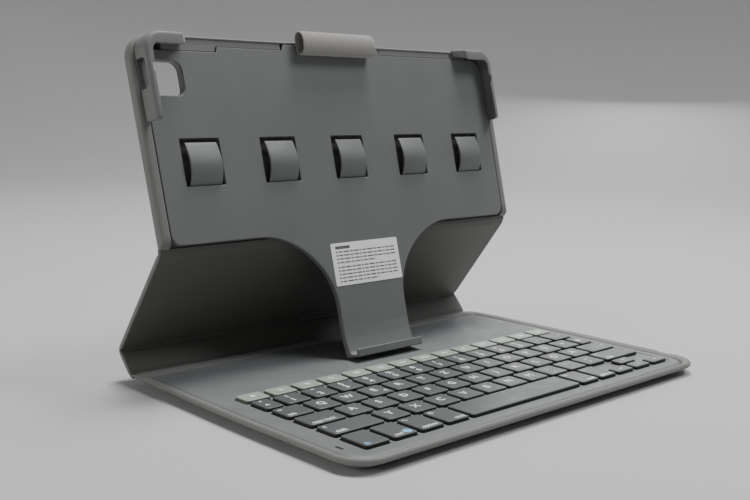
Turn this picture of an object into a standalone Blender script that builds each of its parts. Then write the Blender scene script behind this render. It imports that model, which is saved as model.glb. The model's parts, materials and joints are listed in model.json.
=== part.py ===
"""Keyboard case for a tablet, standing open in its typing position.

The case is a folio: a keyboard base, a narrow spine, a stand panel and an upper cover, joined
by three parallel folds. A moulded tray on the upper cover carries the tablet, and the tray's
foot stands on the keyboard deck. Sizes are in millimetres and become metres when a mesh is made.
The frame is +X to the right, +Y to the back, +Z up, with its origin in the middle of the base's
underside.
"""

import math

import bpy
from mathutils import Matrix, Vector

MM = 0.001

# Whole case
CASE_WIDTH = 262.0
CASE_HALF = CASE_WIDTH / 2
GAP = 0.3  # clearance between pieces that rest on each other

# Keyboard base: a thin round rim stands out all round, over an underside that curves in
BASE_HALF = 135.0
BASE_FRONT = -94.6
BASE_BACK = 88.3
BASE_CORNER = 16.0
SIDE_TAPER = 3.8  # how much narrower each side is at the back, from SIDE_TAPER_START on
SIDE_TAPER_START = -20.0
SIDE_POINTS = (-20.0, 10.0, 35.0, 55.0, 72.0, 88.3)
RIM_TOP = 6.9
RIM_SECTION = (  # height and inset, from the underside up to the rim's crest
    (0.0, 8.8),
    (0.5, 7.3),
    (1.8, 5.0),
    (3.1, 2.4),
    (4.0, 0.5),
    (5.0, 0.0),
    (6.2, 0.6),
    (RIM_TOP, 2.0),
)
RIM_WIDTH = 3.8
RIM_FLOOR = 4.9  # the ledge inside the rim, which the deck's edge sits over
POCKET_INSET = 9.5
DECK_TOP = 6.5
DECK_THICK = 1.2
DECK_BACK = 74.2
SKIN_FLOOR = 0.8
SHELL_BOTTOM = 1.1
SHELL_TOP = 1.6
RAMP = ((75.7, RIM_TOP), (95.0, 4.15))  # Y and Z of the slope at the back of the base
PORT_Y = (-74.6, -65.4)
PORT_Z = (2.3, 5.0)
PORT_X = (122.4, 129.8)
LED_CENTRE = (-126.2, -72.7)
LED_HALF = (0.8, 2.3)
LENS_LAYER = (5.2, 6.3)
LENS_GAP = 0.35
PORT_WALL = 0.7

# Electronics and fasteners in the base, as (left, right), (front, back) and (bottom, top)
BOARD_BOX = ((30.0, 118.0), (28.0, 66.0), (2.0, 2.8))
CHIP_BOXES = (
    ((36.0, 48.0), (42.0, 54.0), (2.5, 4.0)),
    ((62.0, 74.0), (40.0, 50.0), (2.5, 4.4)),
    ((92.0, 99.0), (50.0, 57.0), (2.5, 3.8)),
)
BATTERY_BOX = ((-116.0, -34.0), (26.0, 68.0), (1.95, 4.9))
BATTERY_CORNER = 3.0
CATCH_X = 12.0  # the catch magnets' distance from the middle
CATCH_HALF = 9.0
CATCH_Y = (26.5, 36.5)
CATCH_LAYER = (3.4, 4.9)
SCREW_X = 121.4
SCREW_Y = (("front", -50.0), ("rear", 50.0))
SCREW_RADIUS = 0.9

# Keys
KEYS_HALF = 118.3
KEY_PITCH = 17.35
KEY_GAP = 2.75
KEY_DEPTH = 14.0
ROW_PITCH = 16.35
NUMBER_ROW_TOP = 1.8
FUNCTION_ROW_GAP = 1.85
FUNCTION_ROW_DEPTH = 10.6
BOTTOM_ROW_DEPTH = 17.9
HALF_KEY_DEPTH = 7.95
KEY_TOP = DECK_TOP + 1.5
KEY_BOTTOM = 5.6
KEY_SHOULDER = 7.3
KEY_CORNER = 1.2
KEY_TOP_INSET = 0.45
KEY_HOLE_GAP = 0.4
LETTER_CAP = KEY_PITCH - KEY_GAP
SMALL_KEY = 14.4
SPACE_BAR = 84.3
RIGHT_KEYS = [14.2, 13.3, 14.2, 14.1, 14.0]  # command, option and the three columns of arrows
CARRIER = (4.5, 5.0)  # the web under the deck that carries a row of keys
CARRIER_HALF = 2.0
FIELD_X = (-120.0, 120.0)  # the layers under the keys
FIELD_Y = (-82.3, 15.6)
DOME_RADII = (2.0, 1.2)
PLATE_LAYER = (1.85, 2.15)  # key support plate, membrane and dome sheet, under the carriers
MEMBRANE_LAYER = (2.4, 2.55)
DOME_LAYER = (2.8, 2.95)
DOME_CROWN = 3.15

# Folds, as (Y, Z) of each axis
BASE_FOLD = (90.0, 3.8)
SPINE_FOLD = (100.8, 15.9)
STAND_FOLD = (58.1, 73.2)
FOLD_RADIUS = 1.25
PANEL_START = 1.7  # distance from a fold's axis to the first edge of a panel
SHEET_LAYERS = {"skin": (-1.25, -0.65), "board": (-0.35, 0.35), "lining": (0.65, 1.25)}

# Tablet tray, in its own frame: u to the right, v up the tray, w out of its face
TRAY_LEAN = math.radians(15.2)
TRAY_ORIGIN = (34.98, 6.95)  # Y and Z where v and w are zero
TRAY_HALF = 125.0
TRAY_THICK = 3.3
TRAY_BOTTOM = 72.85
TRAY_TOP = 172.8
TRAY_TAB_TOP = 176.05
TRAY_TAB_HALF = 36.5
TRAY_NOTCH_TOP = 170.0
TRAY_NOTCH_EDGE = -80.0
TONGUE_HALF = 25.2
TONGUE_FLARE = (30.0, 55.0)  # v where the tongue starts to widen, and how far it stays upright
FLARE_END = (70.8, 50.8)  # u where the widening ends, and how far it stays level
LEDGE_HALF = 24.5
LEDGE_BOTTOM = 0.8
LEDGE_TOP = 2.3
LIP_TOP = 5.2
LIP_INNER = 7.6
LIP_OUTER = 9.1

# Leaf springs in the tray's windows
WINDOW_PITCH = 49.63
WINDOW_HALF = 11.81
WINDOW_V = (101.7, 125.9)
LEAF_HALF = 9.5
LEAF_V = (102.0, 123.6)
LEAF_THICK = 1.2
LEAF_ROOT = -1.2  # w of the leaf's middle at its root, where it bends
LEAF_BULGE = 3.4
LEAF_TIP = 1.4
WINDOW_NUMBERS = {
    "outer_left": -2,
    "inner_left": -1,
    "middle": 0,
    "inner_right": 1,
    "outer_right": 2,
}

# Upper cover behind the tray
COVER_BACK = -6.15
COVER_FLOOR = -5.15
COVER_RIM = -0.1
COVER_BOTTOM = 71.8
COVER_TOP = 178.0
COVER_CORNER = 13.0
RIM_INNER = 125.4
RIM_TOP_WALL = 1.6
SHELF = (-3.4, -0.9)  # w of the shelf between the tray's top edge and the rim
SHELF_GAP = 0.35
SHELF_END = 112.0
CAMERA_CENTRE = (-112.3, 156.1)
CAMERA_HALF = (9.6, 8.5)

# Corner bumpers
TABLET_HALF = 125.5
TABLET_TOP = 176.4
BUMPER_LOW = 134.0
BUMPER_END = 104.0
BUMPER_TAPER_END = 99.0
BUMPER_RADIUS = 9.0
BUMPER_SIDE = 2.2
BUMPER_CROWN = 1.5
BUMPER_HEIGHT = 8.8
SIDE_REACH = 2.4  # how far the flat lip reaches over the tablet along its side
TOP_REACH = 5.6  # and along its top edge

# Pencil loop
LOOP_U = (-27.0, 26.2)
LOOP_CENTRE = (4.3, 176.2)
LOOP_HALF = (4.0, 6.35)
LOOP_WALL = 0.9

# Looks: colour, roughness, metallic
TRAY_GREY = ((0.115, 0.125, 0.127), 0.55, 0.0)
SKIN_GREY = ((0.20, 0.21, 0.21), 0.7, 0.0)
LINING_GREY = ((0.17, 0.18, 0.175), 0.75, 0.0)
DECK_GREY = ((0.21, 0.22, 0.225), 0.6, 0.0)
KEY_GREY = ((0.10, 0.105, 0.11), 0.5, 0.0)
FUNCTION_GREEN = ((0.36, 0.40, 0.35), 0.55, 0.0)
BOARD_GREY = ((0.30, 0.28, 0.25), 0.9, 0.0)
BLACK = ((0.02, 0.02, 0.02), 0.5, 0.0)
STEEL = ((0.55, 0.55, 0.56), 0.3, 1.0)
GREEN_BOARD = ((0.02, 0.15, 0.06), 0.5, 0.0)
CLEAR_FILM = ((0.6, 0.65, 0.65), 0.3, 0.0)
SILICONE = ((0.75, 0.75, 0.72), 0.6, 0.0)
FOIL = ((0.5, 0.5, 0.52), 0.35, 0.6)
WHITE_FILM = ((0.72, 0.72, 0.74), 0.45, 0.0)
LOOP_GREY = ((0.30, 0.29, 0.275), 0.85, 0.0)
MAGNET = ((0.65, 0.65, 0.66), 0.25, 1.0)

WORLD = Matrix.Identity(4)


def clear_scene():
    for obj in list(bpy.data.objects):
        bpy.data.objects.remove(obj)


def arc(centre, radius, start, end, steps):
    """Points on an arc, from the start angle to the end angle in degrees."""
    angles = [math.radians(start + (end - start) * n / steps) for n in range(steps + 1)]
    return [(centre[0] + radius * math.cos(a), centre[1] + radius * math.sin(a)) for a in angles]


def rounded(left, right, low, high, radii, steps=4):
    """A rectangle's outline, anticlockwise, with radii for its low left, low right, high right
    and high left corners."""
    low_left, low_right, high_right, high_left = radii
    points = arc((left + low_left, low + low_left), low_left, 180, 270, steps)
    points += arc((right - low_right, low + low_right), low_right, 270, 360, steps)
    points += arc((right - high_right, high - high_right), high_right, 0, 90, steps)
    points += arc((left + high_left, high - high_left), high_left, 90, 180, steps)
    return points


def bezier(p0, p1, p2, p3, steps):
    points = []
    for n in range(steps + 1):
        t = n / steps
        s = 1 - t
        weights = (s**3, 3 * s * s * t, 3 * s * t * t, t**3)
        points.append(
            tuple(sum(k * p[i] for k, p in zip(weights, (p0, p1, p2, p3))) for i in range(2))
        )
    return points


def loft(rings):
    """A closed body through rings of equal length, the first and last filled."""
    size = len(rings[0])
    verts = [point for ring in rings for point in ring]
    faces = [list(range(size))[::-1]]
    for n in range(len(rings) - 1):
        for i in range(size):
            j = (i + 1) % size
            faces.append([n * size + i, n * size + j, (n + 1) * size + j, (n + 1) * size + i])
    faces.append([(len(rings) - 1) * size + i for i in range(size)])
    return verts, faces


def prism(outline, low, high):
    """An outline in the frame's XY plane, from one height to another."""
    return loft([[(x, y, z) for x, y in outline] for z in (low, high)])


def block(x, y, z):
    """A box from three (low, high) pairs."""
    outline = [(x[0], y[0]), (x[1], y[0]), (x[1], y[1]), (x[0], y[1])]
    return prism(outline, z[0], z[1])


def side_profile(points, left, right):
    """A profile of (Y, Z) points, anticlockwise seen from +X, drawn out along X."""
    return loft([[(x, y, z) for y, z in points] for x in (left, right)])


def panel_frame(origin, angle):
    """A frame whose Y runs along a panel at an angle from +Y, and whose Z is its inner face."""
    return Matrix.Translation((0, origin[0], origin[1])) @ Matrix.Rotation(angle, 4, "X")


def material(name, look):
    made = bpy.data.materials.new(name)
    made.use_nodes = True
    shader = made.node_tree.nodes["Principled BSDF"]
    shader.inputs["Base Color"].default_value = (*look[0], 1.0)
    shader.inputs["Roughness"].default_value = look[1]
    shader.inputs["Metallic"].default_value = look[2]
    return made


def add(name, bodies, look=None, frame=WORLD, pivot=None):
    """One object from closed bodies given in a frame, hung on its joint's pivot if it has one."""
    verts = []
    faces = []
    for body_verts, body_faces in bodies:
        first = len(verts)
        verts += [frame @ Vector(point) * MM for point in body_verts]
        faces += [[first + n for n in face] for face in body_faces]
    mesh = bpy.data.meshes.new(name)
    mesh.from_pydata(verts, [], faces)
    obj = bpy.data.objects.new(name, mesh)
    bpy.context.scene.collection.objects.link(obj)
    if look:
        mesh.materials.append(material(name, look))
    if pivot:
        obj.parent = pivot
        obj.matrix_parent_inverse = pivot.matrix_world.inverted()
    return obj


def combine(obj, bodies, operation, frame=WORLD):
    """Joins bodies that don't touch each other to an object, or cuts them from it."""
    tool = add(f"{obj.name}_{operation.lower()}_tool", bodies, frame=frame)
    tool.hide_render = True
    tool.display_type = "WIRE"
    modifier = obj.modifiers.new(operation.title(), "BOOLEAN")
    modifier.operation = operation
    modifier.solver = "EXACT"
    modifier.object = tool


def pivot(name, point, parent=None):
    """An empty on a joint's axis, at a point in millimetres."""
    empty = bpy.data.objects.new(name, None)
    bpy.context.scene.collection.objects.link(empty)
    empty.location = Vector(point) * MM
    if parent:
        empty.parent = parent
        empty.location -= parent.matrix_world.translation
    bpy.context.view_layer.update()
    return empty


# ---------------------------------------------------------------- keys

def row_of(widths, top, depth, gap=KEY_GAP):
    """Key rectangles (left, right, front, back) side by side from the keyboard's left edge."""
    keys = []
    left = -KEYS_HALF
    for width in widths:
        keys.append((left, left + width, top - depth, top))
        left += width + gap
    return keys


def typing_row(number, first, count):
    """A row with a first key, letter keys of one size, and a last key that fills the row."""
    last = 2 * KEYS_HALF - first - KEY_GAP - count * KEY_PITCH
    top = NUMBER_ROW_TOP - number * ROW_PITCH
    return row_of([first] + [LETTER_CAP] * count + [last], top, KEY_DEPTH)


def key_layout():
    """Every key's rectangle, by node name. A row's ordinary keys share one node."""
    function_cap = (2 * KEYS_HALF + KEY_GAP) / 14 - KEY_GAP
    function_top = NUMBER_ROW_TOP + FUNCTION_ROW_GAP + FUNCTION_ROW_DEPTH
    function = row_of([function_cap] * 14, function_top, FUNCTION_ROW_DEPTH)
    number = typing_row(0, 10.3, 12)
    upper = typing_row(1, 15.8, 12)
    home = typing_row(2, 21.4, 11)
    lower = typing_row(3, 30.4, 10)
    bottom_top = NUMBER_ROW_TOP - 4 * ROW_PITCH
    bottom_front = bottom_top - BOTTOM_ROW_DEPTH
    bottom = row_of([SMALL_KEY] * 4 + [SPACE_BAR] + RIGHT_KEYS, bottom_top, BOTTOM_ROW_DEPTH)
    left_arrow, up_down, right_arrow = bottom[7:]
    half_top = bottom_front + HALF_KEY_DEPTH
    return {
        "function_row_keys": function,
        "number_row_keys": number[:-1],
        "backspace_key": number[-1:],
        "tab_key": upper[:1],
        "upper_letter_keys": upper[1:],
        "caps_lock_key": home[:1],
        "home_letter_keys": home[1:-1],
        "enter_key": home[-1:],
        "left_shift_key": lower[:1],
        "lower_letter_keys": lower[1:-1],
        "right_shift_key": lower[-1:],
        "function_shift_key": bottom[:1],
        "control_key": bottom[1:2],
        "left_option_key": bottom[2:3],
        "left_command_key": bottom[3:4],
        "space_bar": bottom[4:5],
        "right_command_key": bottom[5:6],
        "right_option_key": bottom[6:7],
        "left_arrow_key": [(left_arrow[0], left_arrow[1], bottom_front, half_top)],
        "up_arrow_key": [(up_down[0], up_down[1], bottom_top - HALF_KEY_DEPTH, bottom_top)],
        "down_arrow_key": [(up_down[0], up_down[1], bottom_front, half_top)],
        "right_arrow_key": [(right_arrow[0], right_arrow[1], bottom_front, half_top)],
    }


def keycap(rect, bottom=KEY_BOTTOM):
    """A cap with cut corners and a sloped shoulder around its top."""
    rings = []
    for height, inset in ((bottom, 0), (KEY_SHOULDER, 0), (KEY_TOP, KEY_TOP_INSET)):
        left, right = rect[0] + inset, rect[1] - inset
        front, back = rect[2] + inset, rect[3] - inset
        outline = rounded(left, right, front, back, [KEY_CORNER] * 4, 1)
        rings.append([(x, y, height) for x, y in outline])
    return loft(rings)


def middle(rect):
    return (rect[0] + rect[1]) / 2, (rect[2] + rect[3]) / 2


def add_keys(layout, base):
    """Single keys, and rows of keys joined under the deck by a thin carrier web."""
    for name, rects in layout.items():
        look = FUNCTION_GREEN if name == "function_row_keys" else KEY_GREY
        left, right = rects[0][0], rects[-1][1]
        x, y = middle((left, right, rects[0][2], rects[0][3]))
        travel = pivot(f"{name}_travel", (x, y, KEY_BOTTOM), base)
        if len(rects) == 1:
            add(name, [keycap(rects[0])], look, pivot=travel)
            continue
        web = block((left + 1, right - 1), (y - CARRIER_HALF, y + CARRIER_HALF), CARRIER)
        row = add(name, [web], look, pivot=travel)
        combine(row, [keycap(rect, CARRIER[1] - 0.2) for rect in rects], "UNION")


def add_key_supports(rects, base):
    """Under the caps: a steel plate, the contact membrane and the sheet of rubber domes."""
    add("key_support_plate", [block(FIELD_X, FIELD_Y, PLATE_LAYER)], STEEL, pivot=base)
    add("membrane_sheet", [block(FIELD_X, FIELD_Y, MEMBRANE_LAYER)], CLEAR_FILM, pivot=base)
    sheet = add("rubber_dome_sheet", [block(FIELD_X, FIELD_Y, DOME_LAYER)], SILICONE, pivot=base)
    dome_heights = (DOME_LAYER[1] - 0.08, DOME_CROWN)
    domes = []
    for rect in rects:
        rings = []
        for height, radius in zip(dome_heights, DOME_RADII):
            rings.append([(px, py, height) for px, py in arc(middle(rect), radius, 0, 300, 5)])
        domes.append(loft(rings))
    combine(sheet, domes, "UNION")


# ---------------------------------------------------------------- keyboard base

def base_half(y):
    """Half the base's width at a place along it: it narrows a little towards the folds."""
    share = max((y - SIDE_TAPER_START) / (BASE_BACK - SIDE_TAPER_START), 0.0)
    return BASE_HALF - SIDE_TAPER * share**1.5


def base_outline(inset, back=BASE_BACK):
    """The base's outline, moved inwards by an inset at its sides and front."""
    corner = BASE_CORNER - inset
    side = BASE_HALF - BASE_CORNER
    front = BASE_FRONT + BASE_CORNER
    right = [(base_half(min(y, back)) - inset, min(y, back)) for y in SIDE_POINTS]
    right = [point for n, point in enumerate(right) if n == 0 or point[1] > right[n - 1][1]]
    points = arc((-side, front), corner, 180, 270, 5) + arc((side, front), corner, 270, 360, 5)
    return points + right + [(-x, y) for x, y in reversed(right)]


def pocket_outline(inset):
    """The space inside the base, which the bottom shell fills with a gap of an inset."""
    return base_outline(POCKET_INSET + inset, DECK_BACK + 0.4 - inset)


def deck_outline(inset):
    """The opening inside the rim, which the deck fills with a gap of an inset."""
    return base_outline(RIM_WIDTH + inset, DECK_BACK + 0.4 - inset)


def add_base(layout, base):
    rings = []
    for height, inset in RIM_SECTION:
        rings.append([(x, y, height) for x, y in base_outline(inset)])
    skin = add("base_skin", [loft(rings)], SKIN_GREY, pivot=base)
    above = RIM_TOP + 5
    ramp = [(RAMP[0][0], above), *RAMP, (RAMP[1][0], above)]
    combine(skin, [side_profile(ramp, -BASE_HALF - 5, BASE_HALF + 5)], "DIFFERENCE")
    combine(skin, [prism(pocket_outline(0.0), SKIN_FLOOR, above)], "DIFFERENCE")
    combine(skin, [prism(deck_outline(0.0), RIM_FLOOR, above)], "DIFFERENCE")
    notch_y = (PORT_Y[0] - 0.35, PORT_Y[1] + 0.35)
    notch_z = (PORT_Z[0] - 0.35, PORT_Z[1] + 0.35)
    combine(skin, [block((BASE_HALF - 11, BASE_HALF + 5), notch_y, notch_z)], "DIFFERENCE")

    add("bottom_shell", [prism(pocket_outline(0.4), SHELL_BOTTOM, SHELL_TOP)], BLACK, pivot=base)

    deck_low = DECK_TOP - DECK_THICK
    rings = []
    for height, inset in ((deck_low, 0.3), (DECK_TOP - 0.5, 0.3), (DECK_TOP, 0.9)):
        rings.append([(x, y, height) for x, y in deck_outline(inset)])
    deck = add("keyboard_deck", [loft(rings)], DECK_GREY, pivot=base)
    holes = []
    for rects in layout.values():
        for left, right, front, back in rects:
            across = (left - KEY_HOLE_GAP, right + KEY_HOLE_GAP)
            along = (front - KEY_HOLE_GAP, back + KEY_HOLE_GAP)
            holes.append(block(across, along, (deck_low - 1, DECK_TOP + 1)))
    led_x = (LED_CENTRE[0] - LED_HALF[0], LED_CENTRE[0] + LED_HALF[0])
    led_y = (LED_CENTRE[1] - LED_HALF[1], LED_CENTRE[1] + LED_HALF[1])
    holes.append(block(led_x, led_y, (deck_low - 1, DECK_TOP + 1)))
    combine(deck, holes, "DIFFERENCE")

    lens_x = (led_x[0] + LENS_GAP, led_x[1] - LENS_GAP)
    lens_y = (led_y[0] + LENS_GAP, led_y[1] - LENS_GAP)
    add("status_light_lens", [block(lens_x, lens_y, LENS_LAYER)], BLACK, pivot=base)


def add_electronics(base):
    board = add("circuit_board", [block(*BOARD_BOX)], GREEN_BOARD, pivot=base)
    combine(board, [block(*chip) for chip in CHIP_BOXES], "UNION")

    across, along, layer = BATTERY_BOX
    cell = rounded(*across, *along, [BATTERY_CORNER] * 4, 2)
    add("battery_pack", [prism(cell, *layer)], FOIL, pivot=base)

    port = add("charging_port", [block(PORT_X, PORT_Y, PORT_Z)], STEEL, pivot=base)
    mouth_y = (PORT_Y[0] + PORT_WALL, PORT_Y[1] - PORT_WALL)
    mouth_z = (PORT_Z[0] + PORT_WALL, PORT_Z[1] - PORT_WALL)
    mouth = rounded(*mouth_y, *mouth_z, [0.6] * 4, 2)
    combine(port, [side_profile(mouth, PORT_X[0] + 2, PORT_X[1] + 1)], "DIFFERENCE")

    for side, x in (("left", -CATCH_X), ("right", CATCH_X)):
        bar = block((x - CATCH_HALF, x + CATCH_HALF), CATCH_Y, CATCH_LAYER)
        add(f"{side}_catch_magnet", [bar], MAGNET, pivot=base)

    screw_low, screw_high = SHELL_TOP + GAP, DECK_TOP - DECK_THICK - GAP
    for end, y in SCREW_Y:
        for side, x in (("left", -SCREW_X), ("right", SCREW_X)):
            outline = arc((x, y), SCREW_RADIUS, 0, 315, 7)
            add(f"{end}_{side}_screw", [prism(outline, screw_low, screw_high)], STEEL, pivot=base)


# ---------------------------------------------------------------- folding panels

def fold_bead(axis):
    """The round strip of skin along a fold, as a straight bead on the fold's axis."""
    outline = arc(axis, FOLD_RADIUS, 0, 330, 11)
    return side_profile(outline, -CASE_HALF, CASE_HALF)


def panel_between(start, end):
    """A panel's frame and length, from one fold to the next."""
    across = (end[0] - start[0], end[1] - start[1])
    return panel_frame(start, math.atan2(across[1], across[0])), math.hypot(*across)


def add_panel(name, start, end, hinge):
    """Outer skin, stiff board and inner lining of one panel."""
    frame, length = panel_between(start, end)
    looks = {"skin": SKIN_GREY, "board": BOARD_GREY, "lining": LINING_GREY}
    for layer, heights in SHEET_LAYERS.items():
        half = CASE_HALF - 3.0 if layer == "board" else CASE_HALF
        along = (PANEL_START, length - PANEL_START)
        add(f"{name}_{layer}", [block((-half, half), along, heights)], looks[layer], frame, hinge)


# ---------------------------------------------------------------- tablet holder

TRAY_FRAME = panel_frame(TRAY_ORIGIN, math.radians(90) - TRAY_LEAN)


def camera_hole(grow):
    """The rounded square that the tablet's camera looks through."""
    u, v = CAMERA_CENTRE
    half_u, half_v = CAMERA_HALF
    outline = rounded(
        u - half_u - grow, u + half_u + grow, v - half_v - grow, v + half_v + grow, [4.5 + grow] * 4
    )
    return prism(outline, COVER_BACK - 3, 5.0)


def tray_outline():
    """The tray's face, with its stepped top edge and the tongue that reaches down to the foot."""
    corner = 6.0
    shoulder = 9.0
    flare_low, flare_high = TONGUE_FLARE
    flare = bezier(
        (TONGUE_HALF, flare_low),
        (TONGUE_HALF, flare_high),
        (FLARE_END[1], TRAY_BOTTOM),
        (FLARE_END[0], TRAY_BOTTOM),
        8,
    )
    step = 1.2
    points = [(-TONGUE_HALF, LEDGE_BOTTOM + 0.2), (TONGUE_HALF, LEDGE_BOTTOM + 0.2)]
    points += flare
    points += arc((TRAY_HALF - corner, TRAY_BOTTOM + corner), corner, 270, 360, 3)
    points += arc((TRAY_HALF - shoulder, TRAY_TOP - shoulder), shoulder, 0, 90, 3)
    points += [(TRAY_TAB_HALF, TRAY_TOP), (TRAY_TAB_HALF - step, TRAY_TAB_TOP)]
    points += [(-TRAY_TAB_HALF + step, TRAY_TAB_TOP), (-TRAY_TAB_HALF, TRAY_TOP)]
    points += [(TRAY_NOTCH_EDGE + step, TRAY_TOP), (TRAY_NOTCH_EDGE, TRAY_NOTCH_TOP)]
    points += arc((-TRAY_HALF + shoulder, TRAY_NOTCH_TOP - shoulder), shoulder, 90, 180, 3)
    points += arc((-TRAY_HALF + corner, TRAY_BOTTOM + corner), corner, 180, 270, 3)
    points += [(-u, v) for u, v in reversed(flare)]
    return points


def ledge():
    """The foot's ledge and lip: a J seen from the side, with a hollow where it leaves the tray."""
    hollow = 3.0
    inside = 0.15  # keeps the J's upper end inside the tray's thickness
    points = [(LEDGE_BOTTOM, LIP_OUTER), (LEDGE_BOTTOM, -TRAY_THICK + inside)]
    points += [(LEDGE_TOP + hollow + 4, -TRAY_THICK + inside), (LEDGE_TOP + hollow + 4, -inside)]
    fillet = arc((LEDGE_TOP + hollow, hollow - inside), hollow, 270, 180, 4)
    points += fillet
    points += [(LEDGE_TOP, LIP_INNER - 0.5), (LEDGE_TOP + 0.5, LIP_INNER)]
    points += [(LIP_TOP, LIP_INNER), (LIP_TOP, LIP_OUTER)]
    return side_profile(points[::-1], -LEDGE_HALF, LEDGE_HALF)


def add_tray(hinge):
    outline = tray_outline()
    tray = add("tablet_tray", [prism(outline, -TRAY_THICK, 0.0)], TRAY_GREY, TRAY_FRAME, hinge)
    combine(tray, [ledge()], "UNION", TRAY_FRAME)
    magnet_u = (-15.0, 15.0)
    magnet_w = (0.6, 5.4)
    cuts = [camera_hole(0.0)]
    for number in WINDOW_NUMBERS.values():
        u = number * WINDOW_PITCH
        cuts.append(block((u - WINDOW_HALF, u + WINDOW_HALF), WINDOW_V, (-TRAY_THICK - 2, 2.0)))
    seat_u = (magnet_u[0] - GAP, magnet_u[1] + GAP)
    seat_w = (magnet_w[0] - GAP, magnet_w[1] + GAP)
    cuts.append(block(seat_u, (LEDGE_BOTTOM - 1, LEDGE_BOTTOM + 1.0), seat_w))
    combine(tray, cuts, "DIFFERENCE", TRAY_FRAME)
    magnet = block(magnet_u, (LEDGE_BOTTOM, LEDGE_BOTTOM + 0.7), magnet_w)
    add("foot_magnet", [magnet], MAGNET, TRAY_FRAME, hinge)


def leaf_spring(u):
    """A bowed leaf that starts in the tray's face and stands proud of it."""
    stations = 8
    front = []
    back = []
    for n in range(stations + 1):
        t = n / stations
        v = LEAF_V[0] + (LEAF_V[1] - LEAF_V[0]) * t
        w = LEAF_ROOT + LEAF_TIP * t + LEAF_BULGE * math.sin(math.pi * t**0.85)
        front.append((v, w + LEAF_THICK / 2))
        back.append((v, w - LEAF_THICK / 2))
    return side_profile(back + front[::-1], u - LEAF_HALF, u + LEAF_HALF)


def add_leaf_springs(holder):
    for side, number in WINDOW_NUMBERS.items():
        u = number * WINDOW_PITCH
        root = TRAY_FRAME @ Vector((u, LEAF_V[0], LEAF_ROOT))
        bend = pivot(f"{side}_leaf_bend", root, holder)
        add(f"{side}_leaf_spring", [leaf_spring(u)], TRAY_GREY, TRAY_FRAME, bend)


def shelves():
    """Two strips that fill the pocket between the tray's stepped top edge and the rim."""
    high = COVER_TOP - RIM_TOP_WALL + 0.2
    low = TRAY_TOP + SHELF_GAP
    notch = TRAY_NOTCH_TOP + SHELF_GAP
    tab = TRAY_TAB_HALF + SHELF_GAP
    edge = TRAY_NOTCH_EDGE
    left = [(-SHELF_END, notch), (edge - 0.4, notch), (edge + 0.8, low), (-tab, low)]
    left += [(-tab, high), (-SHELF_END, high)]
    right = [(tab, low), (SHELF_END, low), (SHELF_END, high), (tab, high)]
    return [prism(left, *SHELF), prism(right, *SHELF)]


def add_cover(hinge):
    edges = ((COVER_BACK, 1.3), (-4.8, 0.0), (-1.8, 0.0), (COVER_RIM, 1.4))
    rings = []
    for height, inset in edges:
        corner = COVER_CORNER - inset
        half = CASE_HALF - inset
        outline = rounded(-half, half, COVER_BOTTOM, COVER_TOP - inset, [1.0, 1.0, corner, corner])
        rings.append([(x, y, height) for x, y in outline])
    skin = add("cover_skin", [loft(rings)], SKIN_GREY, TRAY_FRAME, hinge)
    inner = COVER_CORNER - 4.0
    top = COVER_TOP - RIM_TOP_WALL
    pocket = rounded(-RIM_INNER, RIM_INNER, COVER_BOTTOM - 5, top, [1.0, 1.0, inner, inner])
    combine(skin, [prism(pocket, COVER_FLOOR, 4.0)], "DIFFERENCE", TRAY_FRAME)
    combine(skin, shelves(), "UNION", TRAY_FRAME)
    combine(skin, [camera_hole(1.0)], "DIFFERENCE", TRAY_FRAME)

    half = RIM_INNER - 0.7
    sheet = rounded(-half, half, COVER_BOTTOM + 0.8, COVER_TOP - 3.1, [1.0, 1.0, 8.5, 8.5], 3)
    layer = prism(sheet, COVER_FLOOR + GAP, -TRAY_THICK - 0.35)
    board = add("cover_board", [layer], BOARD_GREY, TRAY_FRAME, hinge)
    combine(board, [camera_hole(0.6)], "DIFFERENCE", TRAY_FRAME)


def bumper_section(wall, reach, crown=BUMPER_HEIGHT):
    """A hook seen along the bumper: distance outside the tablet's edge, and height w."""
    foot = 0.35
    inner = min(LIP_INNER, crown - 0.6)
    return [
        (0.0, foot),
        (wall, foot),
        (wall, min(3.4, crown - 0.4)),
        (wall * 0.6, min(7.0, crown - 0.2)),
        (0.1, crown),
        (-reach, crown),
        (-reach, inner),
        (0.0, inner),
    ]


def bumper(side):
    """A hook drawn round one top corner, from the side of the tablet to its top edge."""
    centre = (TABLET_HALF - BUMPER_RADIUS, TABLET_TOP - BUMPER_RADIUS)
    stations = [((TABLET_HALF, BUMPER_LOW), 0.0, bumper_section(BUMPER_SIDE, SIDE_REACH))]
    steps = 6
    for n in range(steps + 1):
        share = n / steps
        turn = math.radians(90) * share
        point = (
            centre[0] + BUMPER_RADIUS * math.cos(turn),
            centre[1] + BUMPER_RADIUS * math.sin(turn),
        )
        wall = BUMPER_SIDE + (BUMPER_CROWN - BUMPER_SIDE) * share
        reach = SIDE_REACH + (TOP_REACH - SIDE_REACH) * share
        stations.append((point, turn, bumper_section(wall, reach)))
    upright = math.radians(90)
    top = bumper_section(BUMPER_CROWN, TOP_REACH)
    stations.append(((BUMPER_END, TABLET_TOP), upright, top))
    low = bumper_section(BUMPER_CROWN, TOP_REACH, 2.2)
    stations.append(((BUMPER_TAPER_END, TABLET_TOP), upright, low))
    rings = []
    for (u, v), turn, section in stations:
        ring = []
        for out, w in section:
            ring.append((side * (u + out * math.cos(turn)), v + out * math.sin(turn), w))
        rings.append(ring if side < 0 else ring[::-1])
    return loft(rings)


def add_bumpers(hinge):
    left = add("left_corner_bumper", [bumper(-1)], SKIN_GREY, TRAY_FRAME, hinge)
    slot = rounded(149.6, 164.2, 1.0, 6.5, [1.8] * 4, 3)
    slot_body = loft([[(u, v, w) for v, w in slot] for u in (-140.0, -124.0)])
    combine(left, [slot_body], "DIFFERENCE", TRAY_FRAME)
    add("right_corner_bumper", [bumper(1)], SKIN_GREY, TRAY_FRAME, hinge)


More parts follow.
